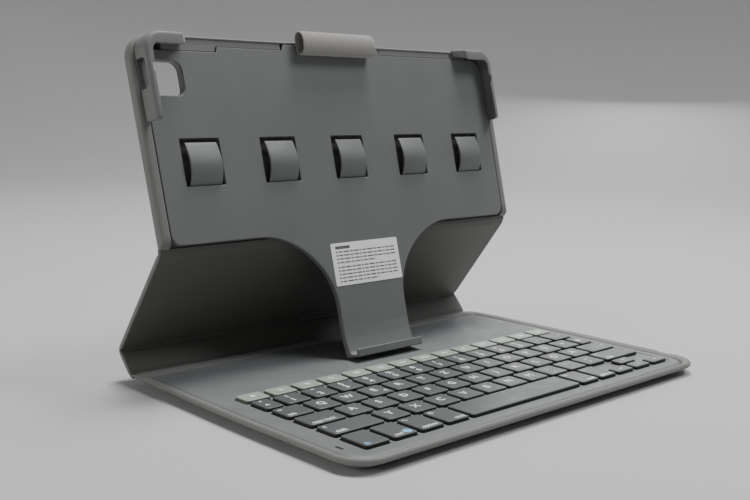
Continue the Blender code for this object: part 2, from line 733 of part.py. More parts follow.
def add_loop(hinge):
    """The elastic pencil loop, as an open tube lying along the tray's top edge."""
    steps = 15
    walls = []
    for inset in (0.0, LOOP_WALL):
        half_w, half_v = LOOP_HALF[0] - inset, LOOP_HALF[1] - inset
        outline = []
        for n in range(steps + 1):
            turn = math.tau * n / (steps + 1)
            v = LOOP_CENTRE[1] + half_v * math.cos(turn)
            outline.append((v, LOOP_CENTRE[0] + half_w * math.sin(turn)))
        walls.append(outline)
    loop = add("pencil_loop", [side_profile(walls[0], *LOOP_U)], LOOP_GREY, TRAY_FRAME, hinge)
    bore = side_profile(walls[1], LOOP_U[0] - 2, LOOP_U[1] + 2)
    combine(loop, [bore], "DIFFERENCE", TRAY_FRAME)


def add_label(hinge):
    sheet = block((-25.4, 26.2), (41.4, 65.4), (GAP, GAP + 0.2))
    add("information_label", [sheet], WHITE_FILM, TRAY_FRAME, hinge)


# ---------------------------------------------------------------- assembly

def build_case():
    clear_scene()
    base = pivot("base_frame", (0, 0, 0))
    base_hinge = pivot("base_fold_axis", (0, *BASE_FOLD), base)
    spine_hinge = pivot("spine_fold_axis", (0, *SPINE_FOLD), base_hinge)
    stand_hinge = pivot("stand_fold_axis", (0, *STAND_FOLD), spine_hinge)

    layout = key_layout()
    add_base(layout, base)
    add_electronics(base)
    add_key_supports([rect for rects in layout.values() for rect in rects], base)
    add_keys(layout, base)

    add_panel("spine", BASE_FOLD, SPINE_FOLD, base_hinge)
    add_panel("stand", SPINE_FOLD, STAND_FOLD, spine_hinge)
    add("base_fold_strip", [fold_bead(BASE_FOLD)], SKIN_GREY, pivot=base_hinge)
    add("spine_fold_strip", [fold_bead(SPINE_FOLD)], SKIN_GREY, pivot=spine_hinge)
    add("holder_fold_strip", [fold_bead(STAND_FOLD)], SKIN_GREY, pivot=stand_hinge)

    add_cover(stand_hinge)
    add_tray(stand_hinge)
    add_leaf_springs(stand_hinge)
    add_bumpers(stand_hinge)
    add_loop(stand_hinge)
    add_label(stand_hinge)


build_case()
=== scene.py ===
"""Looks of the tablet keyboard case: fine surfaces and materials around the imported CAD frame.

Meshes are written in millimetres and become metres when they are made. Base pieces use the row
frame. Pieces of the tablet holder use the tray's own frame: u to the right, v up the tray, w out of
its face.
"""

import json
import math

import bmesh
import bpy
from mathutils import Matrix, Vector

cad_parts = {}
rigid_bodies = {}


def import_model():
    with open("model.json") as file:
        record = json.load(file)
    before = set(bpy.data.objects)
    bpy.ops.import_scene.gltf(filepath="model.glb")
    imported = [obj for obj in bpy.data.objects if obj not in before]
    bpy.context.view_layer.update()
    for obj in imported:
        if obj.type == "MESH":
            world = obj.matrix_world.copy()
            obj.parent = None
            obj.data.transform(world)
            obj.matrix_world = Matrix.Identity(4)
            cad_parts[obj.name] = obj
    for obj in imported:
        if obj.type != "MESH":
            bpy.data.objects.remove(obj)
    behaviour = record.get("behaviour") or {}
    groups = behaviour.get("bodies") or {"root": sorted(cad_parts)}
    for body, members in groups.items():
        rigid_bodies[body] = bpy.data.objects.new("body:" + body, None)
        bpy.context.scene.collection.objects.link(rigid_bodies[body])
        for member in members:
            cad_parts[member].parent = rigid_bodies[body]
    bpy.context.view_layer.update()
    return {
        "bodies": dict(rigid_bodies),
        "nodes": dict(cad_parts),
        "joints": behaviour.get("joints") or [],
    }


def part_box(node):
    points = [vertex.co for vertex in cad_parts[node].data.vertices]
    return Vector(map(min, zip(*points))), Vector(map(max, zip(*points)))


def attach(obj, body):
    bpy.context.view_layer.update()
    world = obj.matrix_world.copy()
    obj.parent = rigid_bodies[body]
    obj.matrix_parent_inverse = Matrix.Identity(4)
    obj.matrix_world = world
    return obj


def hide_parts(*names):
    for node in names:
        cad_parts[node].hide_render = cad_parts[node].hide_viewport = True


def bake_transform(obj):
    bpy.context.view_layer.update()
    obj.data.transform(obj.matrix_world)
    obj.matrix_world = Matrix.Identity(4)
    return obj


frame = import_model()
MM = 0.001
WORLD = Matrix.Identity(4)


def box_mm(node):
    """A CAD node's lowest and highest corners in millimetres."""
    low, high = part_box(node)
    return low / MM, high / MM


def joint_point(name):
    """(Y, Z) of a fold's axis in millimetres."""
    joint = next(j for j in frame["joints"] if j["name"] == name)
    return joint["pos_m"][1] / MM, joint["pos_m"][2] / MM


# Driving sizes, read from the frame where it holds them
BASE_LOW, BASE_HIGH = box_mm("base_skin")
BASE_HALF = BASE_HIGH.x
BASE_FRONT = BASE_LOW.y
BASE_BACK = BASE_HIGH.y
RIM_TOP = BASE_HIGH.z
CASE_HALF = box_mm("cover_skin")[1].x
BASE_CORNER = 16.0
SIDE_TAPER = 3.8
SIDE_TAPER_START = -20.0
RIM_WIDTH = 3.8
RIGHT_RIM_EXTRA = 3.7
DECK_LOW, DECK_HIGH = box_mm("keyboard_deck")
DECK_TOP = DECK_HIGH.z
SKIN_FLOOR = 0.8
BASE_FOLD = joint_point("spine_fold")
SPINE_FOLD = joint_point("stand_fold")
STAND_FOLD = joint_point("holder_fold")

TRAY_LEAN = math.radians(15.2)
TRAY_FACE = (34.98, 6.95)  # Y and Z of the tray's face where v and w are zero
TRAY = Matrix.Translation((0, *TRAY_FACE)) @ Matrix.Rotation(math.radians(90) - TRAY_LEAN, 4, "X")
TRAY_HALF = 125.0
TRAY_THICK = 3.3
TRAY_BOTTOM = 72.85
TRAY_TOP = 172.8
COVER_BACK = -6.15
COVER_FLOOR = -5.15
COVER_BOTTOM = 71.8
COVER_TOP = 178.0
COVER_CORNER = 13.0
LEAVES = ("outer_left", "inner_left", "middle", "inner_right", "outer_right")
WINDOW_PITCH = 49.63
WINDOW_HALF = 11.81
WINDOW_V = (101.7, 125.9)
CAMERA_CENTRE = (-112.3, 156.1)
CAMERA_HALF = (9.6, 8.5)
TABLET_HALF = 125.5
TABLET_TOP = 176.4


# ---------------------------------------------------------------- outlines and lofts

def arc(centre, radius, start, end, steps):
    angles = [math.radians(start + (end - start) * n / steps) for n in range(steps + 1)]
    return [(centre[0] + radius * math.cos(a), centre[1] + radius * math.sin(a)) for a in angles]


def rounded(left, right, low, high, radii, steps=8):
    """A rectangle's outline, anticlockwise, with a radius for each corner from the low left one."""
    a, b, c, d = radii
    points = arc((left + a, low + a), a, 180, 270, steps)
    points += arc((right - b, low + b), b, 270, 360, steps)
    points += arc((right - c, high - c), c, 0, 90, steps)
    points += arc((left + d, high - d), d, 90, 180, steps)
    return points


def fillet(corners, steps=4):
    """A closed outline from (x, y, radius) corners, each rounded by a curve of so many steps."""
    points = []
    count = len(corners)
    for n, (x, y, radius) in enumerate(corners):
        here = Vector((x, y))
        for side in (-1, 1):
            other = Vector(corners[(n + side) % count][:2])
            reach = min(radius, (other - here).length * 0.48)
            if side < 0:
                start = here + (other - here).normalized() * reach
            else:
                end = here + (other - here).normalized() * reach
        for k in range(steps + 1):
            t = k / steps
            point = start * (1 - t) ** 2 + here * 2 * t * (1 - t) + end * t * t
            points.append((point.x, point.y))
    return points


def offset(outline, inset):
    """An anticlockwise outline moved inwards along its corners' normals."""
    moved = []
    for n, point in enumerate(outline):
        here = Vector(point)
        before = (here - Vector(outline[n - 1])).normalized()
        after = (Vector(outline[(n + 1) % len(outline)]) - here).normalized()
        normal = Vector((-before.y - after.y, before.x + after.x))
        length = max(normal.length, 1.2)
        moved.append(tuple(here + normal * (2 * inset / length**2)))
    return moved


def bezier(p0, p1, p2, p3, steps):
    points = []
    for n in range(steps + 1):
        t = n / steps
        s = 1 - t
        weights = (s**3, 3 * s * s * t, 3 * s * t * t, t**3)
        pair = (sum(k * p[i] for k, p in zip(weights, (p0, p1, p2, p3))) for i in range(2))
        points.append(tuple(pair))
    return points


def loft(rings, joined=False):
    """A closed body through rings of equal length: its ends are filled, or joined to each other."""
    size = len(rings[0])
    verts = [tuple(point) for ring in rings for point in ring]
    faces = []
    count = len(rings)
    for n in range(count if joined else count - 1):
        m = (n + 1) % count
        for i in range(size):
            j = (i + 1) % size
            faces.append([n * size + i, n * size + j, m * size + j, m * size + i])
    if not joined:
        faces.append(list(range(size))[::-1])
        faces.append([(count - 1) * size + i for i in range(size)])
    return verts, faces


def flat(outline, height):
    return [(x, y, height) for x, y in outline]


def prism(outline, low, high):
    return loft([flat(outline, low), flat(outline, high)])


def slab(outline, low, high, round_top=0.4, round_bottom=0.0, steps=3):
    """A plate with rounded edges, and a narrow flat ring inside each edge that keeps its face flat."""
    rings = []
    if round_bottom:
        rings.append(flat(offset(outline, round_bottom * 1.6), low))
        for n in range(steps + 1):
            turn = math.radians(90) * n / steps
            inset = round_bottom * (1 - math.sin(turn))
            rings.append(flat(offset(outline, inset), low + round_bottom * (1 - math.cos(turn))))
    else:
        rings.append(flat(outline, low))
    for n in range(steps + 1):
        turn = math.radians(90) * n / steps
        inset = round_top * (1 - math.cos(turn))
        rings.append(flat(offset(outline, inset), high - round_top * (1 - math.sin(turn))))
    rings.append(flat(offset(outline, round_top * 1.6), high))
    return loft(rings)


def across(profile, left, right, edge=0.0, steps=3):
    """A profile of (second, third) coordinates drawn out along the first, with rounded ends."""
    stations = [(left, 0.0), (right, 0.0)]
    if edge:
        stations = []
        for n in range(steps + 1):
            turn = math.radians(90) * n / steps
            stations.append((left + edge * (1 - math.sin(turn)), edge * (1 - math.cos(turn))))
        stations = stations[::-1]
        stations += [(left + right - x, inset) for x, inset in stations[::-1]]
    rings = []
    for x, inset in stations:
        rings.append([(x, y, z) for y, z in (offset(profile, inset) if inset else profile)])
    return loft(rings)


# ---------------------------------------------------------------- objects

def shade(obj, angle=38):
    obj.data.shade_smooth()
    obj.data.set_sharp_from_angle(angle=math.radians(angle))


def make(name, bodies, place=WORLD, look=None, smooth=38):
    """An object from closed bodies in millimetres, with its faces pointing out."""
    verts = []
    faces = []
    for body_verts, body_faces in bodies:
        first = len(verts)
        verts += [place @ Vector(point) * MM for point in body_verts]
        faces += [[first + n for n in face] for face in body_faces]
    mesh = bpy.data.meshes.new(name)
    mesh.from_pydata(verts, [], faces)
    tidy = bmesh.new()
    tidy.from_mesh(mesh)
    bmesh.ops.recalc_face_normals(tidy, faces=tidy.faces)
    tidy.to_mesh(mesh)
    tidy.free()
    obj = bpy.data.objects.new(name, mesh)
    bpy.context.scene.collection.objects.link(obj)
    if look:
        mesh.materials.append(look)
    shade(obj, smooth)
    return obj


def bake(obj):
    """Applies an object's modifiers to its mesh."""
    bpy.context.view_layer.update()
    graph = bpy.context.evaluated_depsgraph_get()
    obj.data = bpy.data.meshes.new_from_object(obj.evaluated_get(graph))
    obj.modifiers.clear()


def carve(obj, bodies, place=WORLD, smooth=38):
    """Cuts closed bodies that don't touch each other out of an object."""
    tool = make(f"{obj.name}_tool", bodies, place)
    cut = obj.modifiers.new("Cut", "BOOLEAN")
    cut.operation = "DIFFERENCE"
    cut.solver = "EXACT"
    cut.object = tool
    bake(obj)
    bpy.data.objects.remove(tool)
    shade(obj, smooth)


def soften(obj, width, segments=2, angle=40, smooth=38):
    """Rounds an object's sharp edges."""
    bevel = obj.modifiers.new("Soften", "BEVEL")
    bevel.width = width * MM
    bevel.segments = segments
    bevel.limit_method = "ANGLE"
    bevel.angle_limit = math.radians(angle)
    bevel.use_clamp_overlap = True
    bake(obj)
    shade(obj, smooth)


def finish_piece(obj, body, slot, *nodes):
    """Hangs a finished piece on its body, in place of CAD nodes."""
    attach(obj, body)
    if nodes:
        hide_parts(*nodes)
    return obj


# ---------------------------------------------------------------- materials

def add_node(tree, kind, settings=None, **values):
    """A shader node; values are sockets to link or numbers to set, by input name or i0, i1."""
    made = tree.nodes.new(kind)
    for key, value in (settings or {}).items():
        setattr(made, key, value)
    for key, value in values.items():
        if key[0] == "i" and key[1:].isdigit():
            socket = made.inputs[int(key[1:])]
        else:
            socket = made.inputs[key.replace("_", " ")]
        if isinstance(value, bpy.types.NodeSocket):
            tree.links.new(value, socket)
        else:
            socket.default_value = value
    return made


def math_node(tree, operation, a, b=0.0, clamp=False):
    settings = {"operation": operation, "use_clamp": clamp}
    return add_node(tree, "ShaderNodeMath", settings, i0=a, i1=b).outputs[0]


def mix_colours(tree, factor, a, b, blend="MIX"):
    settings = {"data_type": "RGBA", "blend_type": blend}
    return add_node(tree, "ShaderNodeMix", settings, i0=factor, i6=a, i7=b).outputs[2]


def ramp(tree, value, low, high):
    """Zero below low, one above high."""
    settings = {"clamp": True, "interpolation_type": "SMOOTHSTEP"}
    return add_node(tree, "ShaderNodeMapRange", settings, i0=value, i1=low, i2=high).outputs[0]


def noise(tree, where, size_mm, detail=2.0, roughness=0.5, distortion=0.0):
    made = add_node(
        tree,
        "ShaderNodeTexNoise",
        Vector=where,
        Scale=1 / (size_mm * MM),
        Detail=detail,
        Roughness=roughness,
        Distortion=distortion,
    )
    return made.outputs["Fac"]


def stretched(tree, where, scale):
    settings = {"operation": "MULTIPLY"}
    return add_node(tree, "ShaderNodeVectorMath", settings, i0=where, i1=scale).outputs[0]


def shades(colour, amount):
    return tuple(min(c * amount, 1.0) for c in colour) + (1.0,)


class Look:
    """A material being built: its node tree, shader and object coordinates."""

    def __init__(self, name, roughness, metallic=0.0, specular=0.5):
        self.material = bpy.data.materials.new(name)
        self.material.use_nodes = True
        self.tree = self.material.node_tree
        self.shader = self.tree.nodes["Principled BSDF"]
        self.shader.inputs["Roughness"].default_value = roughness
        self.shader.inputs["Metallic"].default_value = metallic
        self.shader.inputs["Specular IOR Level"].default_value = specular
        self.where = self.tree.nodes.new("ShaderNodeTexCoord").outputs["Object"]

    def set(self, name, value):
        socket = self.shader.inputs[name]
        if isinstance(value, bpy.types.NodeSocket):
            self.tree.links.new(value, socket)
        else:
            socket.default_value = value

    def bump(self, height, depth_mm, strength=1.0):
        """Bumps of a height map from 0 to 1; a second call adds to the first."""
        before = self.shader.inputs["Normal"].links
        made = add_node(
            self.tree, "ShaderNodeBump", Height=height, Distance=depth_mm * MM, Strength=strength
        )
        if before:
            self.tree.links.new(before[0].from_socket, made.inputs["Normal"])
        self.tree.links.new(made.outputs[0], self.shader.inputs["Normal"])

    def convex_edges(self, radius_mm):
        """One at convex edges, zero on flat faces."""
        tree = self.tree
        bevel = add_node(tree, "ShaderNodeBevel", {"samples": 4}, Radius=radius_mm * MM)
        normal = tree.nodes.new("ShaderNodeNewGeometry").outputs["Normal"]
        settings = {"operation": "DOT_PRODUCT"}
        dot = add_node(tree, "ShaderNodeVectorMath", settings, i0=bevel.outputs[0], i1=normal)
        return ramp(tree, math_node(tree, "SUBTRACT", 1.0, dot.outputs["Value"]), 0.01, 0.12)


def moulded(name, colour, roughness=0.55, grain=0.30, depth=0.012, edge_wear_and_highlight=0.25, specular=0.45):
    """Spark-textured moulded plastic: fine grain, faint cloudy mottling, lint, and paler edges that are partly worn
    and partly a painted highlight.
    """
    look = Look(name, roughness, specular=specular)
    tree, where = look.tree, look.where
    cloud = noise(tree, where, 38.0, 3.0)
    handling = ramp(tree, noise(tree, where, 14.0, 5.0, 0.62, 0.6), 0.42, 0.72)
    fine = noise(tree, where, grain, 2.0, 0.6)
    base = mix_colours(tree, cloud, shades(colour, 0.90), shades(colour, 1.10))
    base = mix_colours(tree, math_node(tree, "MULTIPLY", fine, 0.25), base, shades(colour, 1.35))
    lint = ramp(tree, noise(tree, where, 1.1, 1.0), 0.80, 0.86)
    base = mix_colours(tree, math_node(tree, "MULTIPLY", lint, 0.5), base, shades(colour, 2.2))
    # Paler convex edges: worn plastic, and where the share is large, as on the tray, mostly a painted highlight.
    if edge_wear_and_highlight:
        wear_and_highlight_mask = math_node(tree, "MULTIPLY", look.convex_edges(0.5), edge_wear_and_highlight)
        base = mix_colours(tree, wear_and_highlight_mask, base, shades(colour, 1.7))
    look.set("Base Color", base)
    rough = add_node(tree, "ShaderNodeMapRange", i0=handling, i3=roughness + 0.04, i4=roughness - 0.09)
    look.set("Roughness", rough.outputs[0])
    look.bump(fine, depth, 0.8)
    look.bump(noise(tree, where, 2.6, 2.0), 0.02, 0.35)
    return look.material


def soft_touch(name, colour, roughness=0.62, pebble=0.55, depth=0.03, edge_wear_and_highlight=0.2):
    """Soft-touch rubber skin: tiny pebbled cells, faint mottling, dust and paler edges."""
    look = Look(name, roughness, specular=0.4)
    tree, where = look.tree, look.where
    settings = {"feature": "SMOOTH_F1"}
    cells = add_node(
        tree,
        "ShaderNodeTexVoronoi",
        settings,
        Vector=where,
        Scale=1 / (pebble * MM),
        Smoothness=0.6,
        Randomness=0.9,
    ).outputs["Distance"]
    fine = noise(tree, where, 0.22, 2.0)
    cloud = noise(tree, where, 46.0, 4.0, 0.55, 0.4)
    base = mix_colours(tree, cloud, shades(colour, 0.88), shades(colour, 1.12))
    valley = math_node(tree, "MULTIPLY", ramp(tree, cells, 0.25, 0.75), 0.22)
    base = mix_colours(tree, valley, base, shades(colour, 0.7))
    dust = ramp(tree, noise(tree, where, 0.8, 1.0), 0.77, 0.86)
    base = mix_colours(tree, math_node(tree, "MULTIPLY", dust, 0.35), base, shades(colour, 2.0))
    if edge_wear_and_highlight:
        wear_and_highlight_mask = math_node(tree, "MULTIPLY", look.convex_edges(0.6), edge_wear_and_highlight)
        base = mix_colours(tree, wear_and_highlight_mask, base, shades(colour, 1.6))
    look.set("Base Color", base)
    rough = add_node(tree, "ShaderNodeMapRange", i0=cloud, i3=roughness - 0.06, i4=roughness + 0.08)
    look.set("Roughness", rough.outputs[0])
    look.set("Sheen Weight", 0.12)
    look.set("Sheen Roughness", 0.45)
    look.bump(math_node(tree, "SUBTRACT", 1.0, cells), depth, 0.5)
    look.bump(fine, 0.008, 0.6)
    return look.material


def keycap_plastic(name, colour, roughness=0.42):
    """Painted key tops: satin, finely stippled, a little polished where fingers land."""
    look = Look(name, roughness, specular=0.5)
    tree, where = look.tree, look.where
    fine = noise(tree, where, 0.16, 2.0, 0.6)
    patches = noise(tree, where, 9.0, 3.0)
    base = mix_colours(tree, patches, shades(colour, 0.92), shades(colour, 1.09))
    base = mix_colours(tree, math_node(tree, "MULTIPLY", fine, 0.2), base, shades(colour, 1.3))
    look.set("Base Color", base)
    polish = ramp(tree, patches, 0.45, 0.7)
    rough = add_node(tree, "ShaderNodeMapRange", i0=polish, i3=roughness, i4=roughness - 0.08)
    look.set("Roughness", rough.outputs[0])
    look.bump(fine, 0.006, 0.7)
    return look.material


def knitted(name, colour, rib):
    """Ribbed elastic: cords across the band, and yarn running over them."""
    look = Look(name, 0.85, specular=0.25)
    tree, where = look.tree, look.where
    yarn = add_node(
        tree,
        "ShaderNodeTexWave",
        {"wave_type": "BANDS", "bands_direction": "Z", "wave_profile": "SIN"},
        Vector=where,
        Scale=0.5 / (0.32 * MM),
        Distortion=1.2,
        Detail=2.0,
        Detail_Scale=1.5,
    ).outputs["Fac"]
    cords = add_node(
        tree,
        "ShaderNodeTexWave",
        {"wave_type": "BANDS", "bands_direction": "X", "wave_profile": "SIN"},
        Vector=where,
        Scale=math.tau / (20 * rib * MM) * 1.0,
        Distortion=0.3,
        Detail=1.0,
    ).outputs["Fac"]
    fuzz = noise(tree, where, 0.25, 3.0, 0.7)
    base = mix_colours(tree, fuzz, shades(colour, 0.78), shades(colour, 1.25))
    base = mix_colours(tree, math_node(tree, "MULTIPLY", yarn, 0.25), base, shades(colour, 1.35))
    base = mix_colours(tree, math_node(tree, "MULTIPLY", cords, 0.10), base, shades(colour, 0.75))
    look.set("Base Color", base)
    look.set("Sheen Weight", 0.5)
    look.set("Sheen Roughness", 0.5)
    look.bump(yarn, 0.05, 0.6)
    look.bump(fuzz, 0.05, 0.6)
    return look.material


def printed_film(name, colour):
    """Label stock: smooth satin film with a faint paper tooth and softly dirtied edges."""
    look = Look(name, 0.42)
    tree, where = look.tree, look.where
    tooth = noise(tree, where, 0.35, 3.0)
    grime = ramp(tree, noise(tree, where, 12.0, 4.0), 0.35, 0.8)
    base = mix_colours(tree, math_node(tree, "MULTIPLY", tooth, 0.12), shades(colour, 1.0), shades(colour, 0.86))
    base = mix_colours(tree, math_node(tree, "MULTIPLY", grime, 0.12), base, shades(colour, 0.8))
    look.set("Base Color", base)
    look.bump(tooth, 0.006, 0.5)
    return look.material


def ink(name, colour):
    look = Look(name, 0.5)
    tree, where = look.tree, look.where
    spread = noise(tree, where, 0.12, 2.0)
    look.set("Base Color", mix_colours(tree, spread, shades(colour, 0.85), shades(colour, 1.1)))
    look.bump(spread, 0.004, 0.4)
    return look.material


def metal(name, colour, roughness, brush_mm=(0.08, 8.0)):
    """Brushed or plated metal with fine lines along X and small stains."""
    look = Look(name, roughness, metallic=1.0)
    tree, where = look.tree, look.where
    lines = stretched(tree, where, (brush_mm[0] / brush_mm[1], 1.0, 1.0))
    brush = noise(tree, lines, brush_mm[0], 3.0, 0.6)
    stain = ramp(tree, noise(tree, where, 5.0, 4.0), 0.4, 0.7)
    base = mix_colours(tree, brush, shades(colour, 0.82), shades(colour, 1.12))
    base = mix_colours(tree, math_node(tree, "MULTIPLY", stain, 0.2), base, shades(colour, 0.7))
    look.set("Base Color", base)
    rough = add_node(tree, "ShaderNodeMapRange", i0=stain, i3=roughness - 0.05, i4=roughness + 0.12)
    look.set("Roughness", rough.outputs[0])
    look.bump(brush, 0.006, 0.5)
    return look.material


def circuit_laminate(name):
    """Green solder mask with the copper tracks showing through it."""
    look = Look(name, 0.35)
    tree, where = look.tree, look.where
    tracks = add_node(
        tree,
        "ShaderNodeTexBrick",
        Vector=where,
        Color1=(0.01, 0.11, 0.04, 1),
        Color2=(0.01, 0.13, 0.05, 1),
        Mortar=(0.05, 0.26, 0.10, 1),
        Scale=1.0,
        Mortar_Size=0.00012,
        Brick_Width=0.006,
        Row_Height=0.0012,
    )
    grain = noise(tree, where, 0.5)
    look.set("Base Color", mix_colours(tree, math_node(tree, "MULTIPLY", grain, 0.2), tracks.outputs[0], (0.02, 0.2, 0.08, 1)))
    look.bump(tracks.outputs["Fac"], 0.03, 0.5)
    return look.material


def pouch_foil(name):
    """Crinkled aluminium laminate around a battery cell."""
    look = Look(name, 0.38, metallic=0.85)
    tree, where = look.tree, look.where
    crinkle = noise(tree, where, 3.0, 5.0, 0.6, 1.5)
    look.set("Base Color", mix_colours(tree, crinkle, (0.42, 0.42, 0.44, 1), (0.62, 0.62, 0.64, 1)))
    look.bump(crinkle, 0.12, 0.6)
    return look.material


def fibre_board(name, colour):
    """Pressed fibre board with short flecks."""
    look = Look(name, 0.9, specular=0.2)
    tree, where = look.tree, look.where
    fleck = noise(tree, stretched(tree, where, (0.25, 1.0, 1.0)), 0.5, 4.0, 0.7)
    look.set("Base Color", mix_colours(tree, fleck, shades(colour, 0.7), shades(colour, 1.25)))
    look.bump(fleck, 0.05, 0.6)
    return look.material


def clear_silicone(name, colour, roughness):
    look = Look(name, roughness)
    tree, where = look.tree, look.where
    cloud = noise(tree, where, 2.5, 3.0)
    look.set("Base Color", mix_colours(tree, cloud, shades(colour, 0.85), shades(colour, 1.05)))
    look.set("Subsurface Weight", 0.15)
    look.set("Subsurface Radius", (0.002, 0.002, 0.002))
    look.bump(cloud, 0.01, 0.4)
    return look.material


# The tray's paler edges, at a share of 0.6, are mostly a painted highlight along its top edge and notch, and partly
# worn plastic.
TRAY_LOOK = moulded("tray_moulding", (0.140, 0.146, 0.144), 0.55, edge_wear_and_highlight=0.6)
DECK_LOOK = moulded("deck_moulding", (0.145, 0.152, 0.154), 0.5, grain=0.26)
LEAF_LOOK = moulded("leaf_moulding", (0.138, 0.142, 0.143), 0.5, edge_wear_and_highlight=0.15)
SKIN_LOOK = soft_touch("skin_rubber", (0.178, 0.178, 0.170), 0.58)
BUMPER_LOOK = soft_touch("bumper_rubber", (0.165, 0.168, 0.165), 0.55, pebble=0.4, depth=0.012)
# Near-black look for the faces inside the left bumper's button slot: painted shade under the bumper's lip.
SLOT_SHADE_LOOK = soft_touch("slot_painted_shade", (0.05, 0.048, 0.045), 0.7, pebble=0.4, depth=0.012)
# The lining is darker than its own colour: part of its darkness is painted shade for where it lies under the stand
# and holder.
SHADED_LINING_LOOK = soft_touch("lining_rubber", (0.098, 0.098, 0.090), 0.6, pebble=0.45, depth=0.02)
KEY_LOOK = keycap_plastic("key_paint", (0.082, 0.087, 0.089), 0.46)
FUNCTION_LOOK = keycap_plastic("function_key_paint", (0.28, 0.325, 0.275), 0.45)
FUNCTION_SIDE_LOOK = moulded("function_key_body", (0.10, 0.105, 0.085), 0.5, edge_wear_and_highlight=0.0)
KEY_SIDE_LOOK = moulded("key_body", (0.012, 0.012, 0.012), 0.45, edge_wear_and_highlight=0.0)
LEGEND_LOOK = ink("legend_ink", (0.86, 0.88, 0.89))
BLUE_INK = ink("legend_blue_ink", (0.22, 0.55, 0.88))
PRINT_INK = ink("label_ink", (0.12, 0.12, 0.13))
LABEL_LOOK = printed_film("label_film", (0.97, 0.97, 0.98))
LOOP_RIB = 1.25
LOOP_LOOK = knitted("loop_elastic", (0.27, 0.26, 0.245), LOOP_RIB)
BOARD_LOOK = fibre_board("stiffener_board", (0.10, 0.10, 0.095))
SHELL_LOOK = moulded("shell_moulding", (0.02, 0.02, 0.02), 0.6)
STEEL_LOOK = metal("steel_plate", (0.55, 0.55, 0.56), 0.35)
SCREW_LOOK = metal("screw_steel", (0.45, 0.45, 0.46), 0.3, (0.05, 0.4))
MAGNET_LOOK = metal("magnet_nickel", (0.66, 0.65, 0.62), 0.22, (0.1, 1.0))
LENS_LOOK = clear_silicone("light_lens", (0.02, 0.02, 0.022), 0.15)
DOME_LOOK = clear_silicone("dome_silicone", (0.7, 0.7, 0.67), 0.5)
FILM_LOOK = clear_silicone("membrane_film", (0.5, 0.56, 0.56), 0.3)


def dress_hidden_nodes():
    """Materials of the CAD nodes that stay as they are."""
    looks = {
        BOARD_LOOK: ("spine_board", "stand_board", "cover_board"),
        SHELL_LOOK: ("bottom_shell",),
        STEEL_LOOK: ("key_support_plate", "charging_port"),
        SCREW_LOOK: tuple(f"{e}_{s}_screw" for e in ("front", "rear") for s in ("left", "right")),
        MAGNET_LOOK: ("left_catch_magnet", "right_catch_magnet", "foot_magnet"),
        LENS_LOOK: ("status_light_lens",),
        DOME_LOOK: ("rubber_dome_sheet",),
        FILM_LOOK: ("membrane_sheet",),
        circuit_laminate("circuit_laminate"): ("circuit_board",),
        pouch_foil("battery_foil"): ("battery_pack",),
    }
    for look, names in looks.items():
        for name in names:
            mesh = frame["nodes"][name].data
            mesh.materials.clear()
            mesh.materials.append(look)


# ---------------------------------------------------------------- keyboard base

def base_ramp(y):
    """Highest the base may be at a place towards its back, where it slopes down to the fold."""
    places = ((60.0, RIM_TOP + 0.1), (74.5, DECK_TOP + 0.12), (80.0, 6.3), (BASE_BACK, 5.05))
    for (y0, z0), (y1, z1) in zip(places, places[1:]):
        if y < y1:
            return z0 + (z1 - z0) * max((y - y0) / (y1 - y0), 0.0)
    return places[-1][1]


def base_half(y):
    """Half the base's width at a place along it: it narrows a little towards the folds."""
    share = max((y - SIDE_TAPER_START) / (BASE_BACK - SIDE_TAPER_START), 0.0)
    return BASE_HALF - SIDE_TAPER * share**1.5


def base_outline(inset, back=BASE_BACK):
    """The base's outline, moved inwards by an inset at its sides and front.

    The rim is wider along the right side, so the lines inside its crest lie further in there.
    """
    corner = max(BASE_CORNER - inset, 1.5)
    side = BASE_HALF - inset - corner
    front = BASE_FRONT + inset + corner
    levels = [SIDE_TAPER_START + (back - 17.0 - SIDE_TAPER_START) * n / 12 for n in range(13)]
    levels += [back - drop for drop in (13.4, 12.0, 9.5, 7.0, 4.5, 2.0, 0.0)]
    share = min(max((inset - 1.0) / 2.4, 0.0), 1.0)
    extra = RIGHT_RIM_EXTRA * share * share * (3 - 2 * share)
    right = [(base_half(y) - inset, y) for y in levels]
    left = [(-x, y) for x, y in reversed(right)]
    outline = arc((-side, front), corner, 180, 270, 16)
    outline += arc((side - extra, front), corner, 270, 360, 16)
    return outline + [(x - extra, y) for x, y in right] + left


def front_fill(x, y):
    """One along the middle of the front edge, where the rim runs level into the deck."""
    if y > BASE_FRONT + 12:
        return 0.0
    share = min(max((112.0 - abs(x)) / 26.0, 0), 1)
    return share * share * (3 - 2 * share)


def base_ring(inset, height, back, filled=0.0):
    """The base's outline at an inset and height, held under the slope at its back."""
    ring = []
    for x, y in base_outline(inset, back):
        z = height + (filled - height) * front_fill(x, y) if filled else height
        ring.append((x, y, min(z, base_ramp(y))))
    return ring


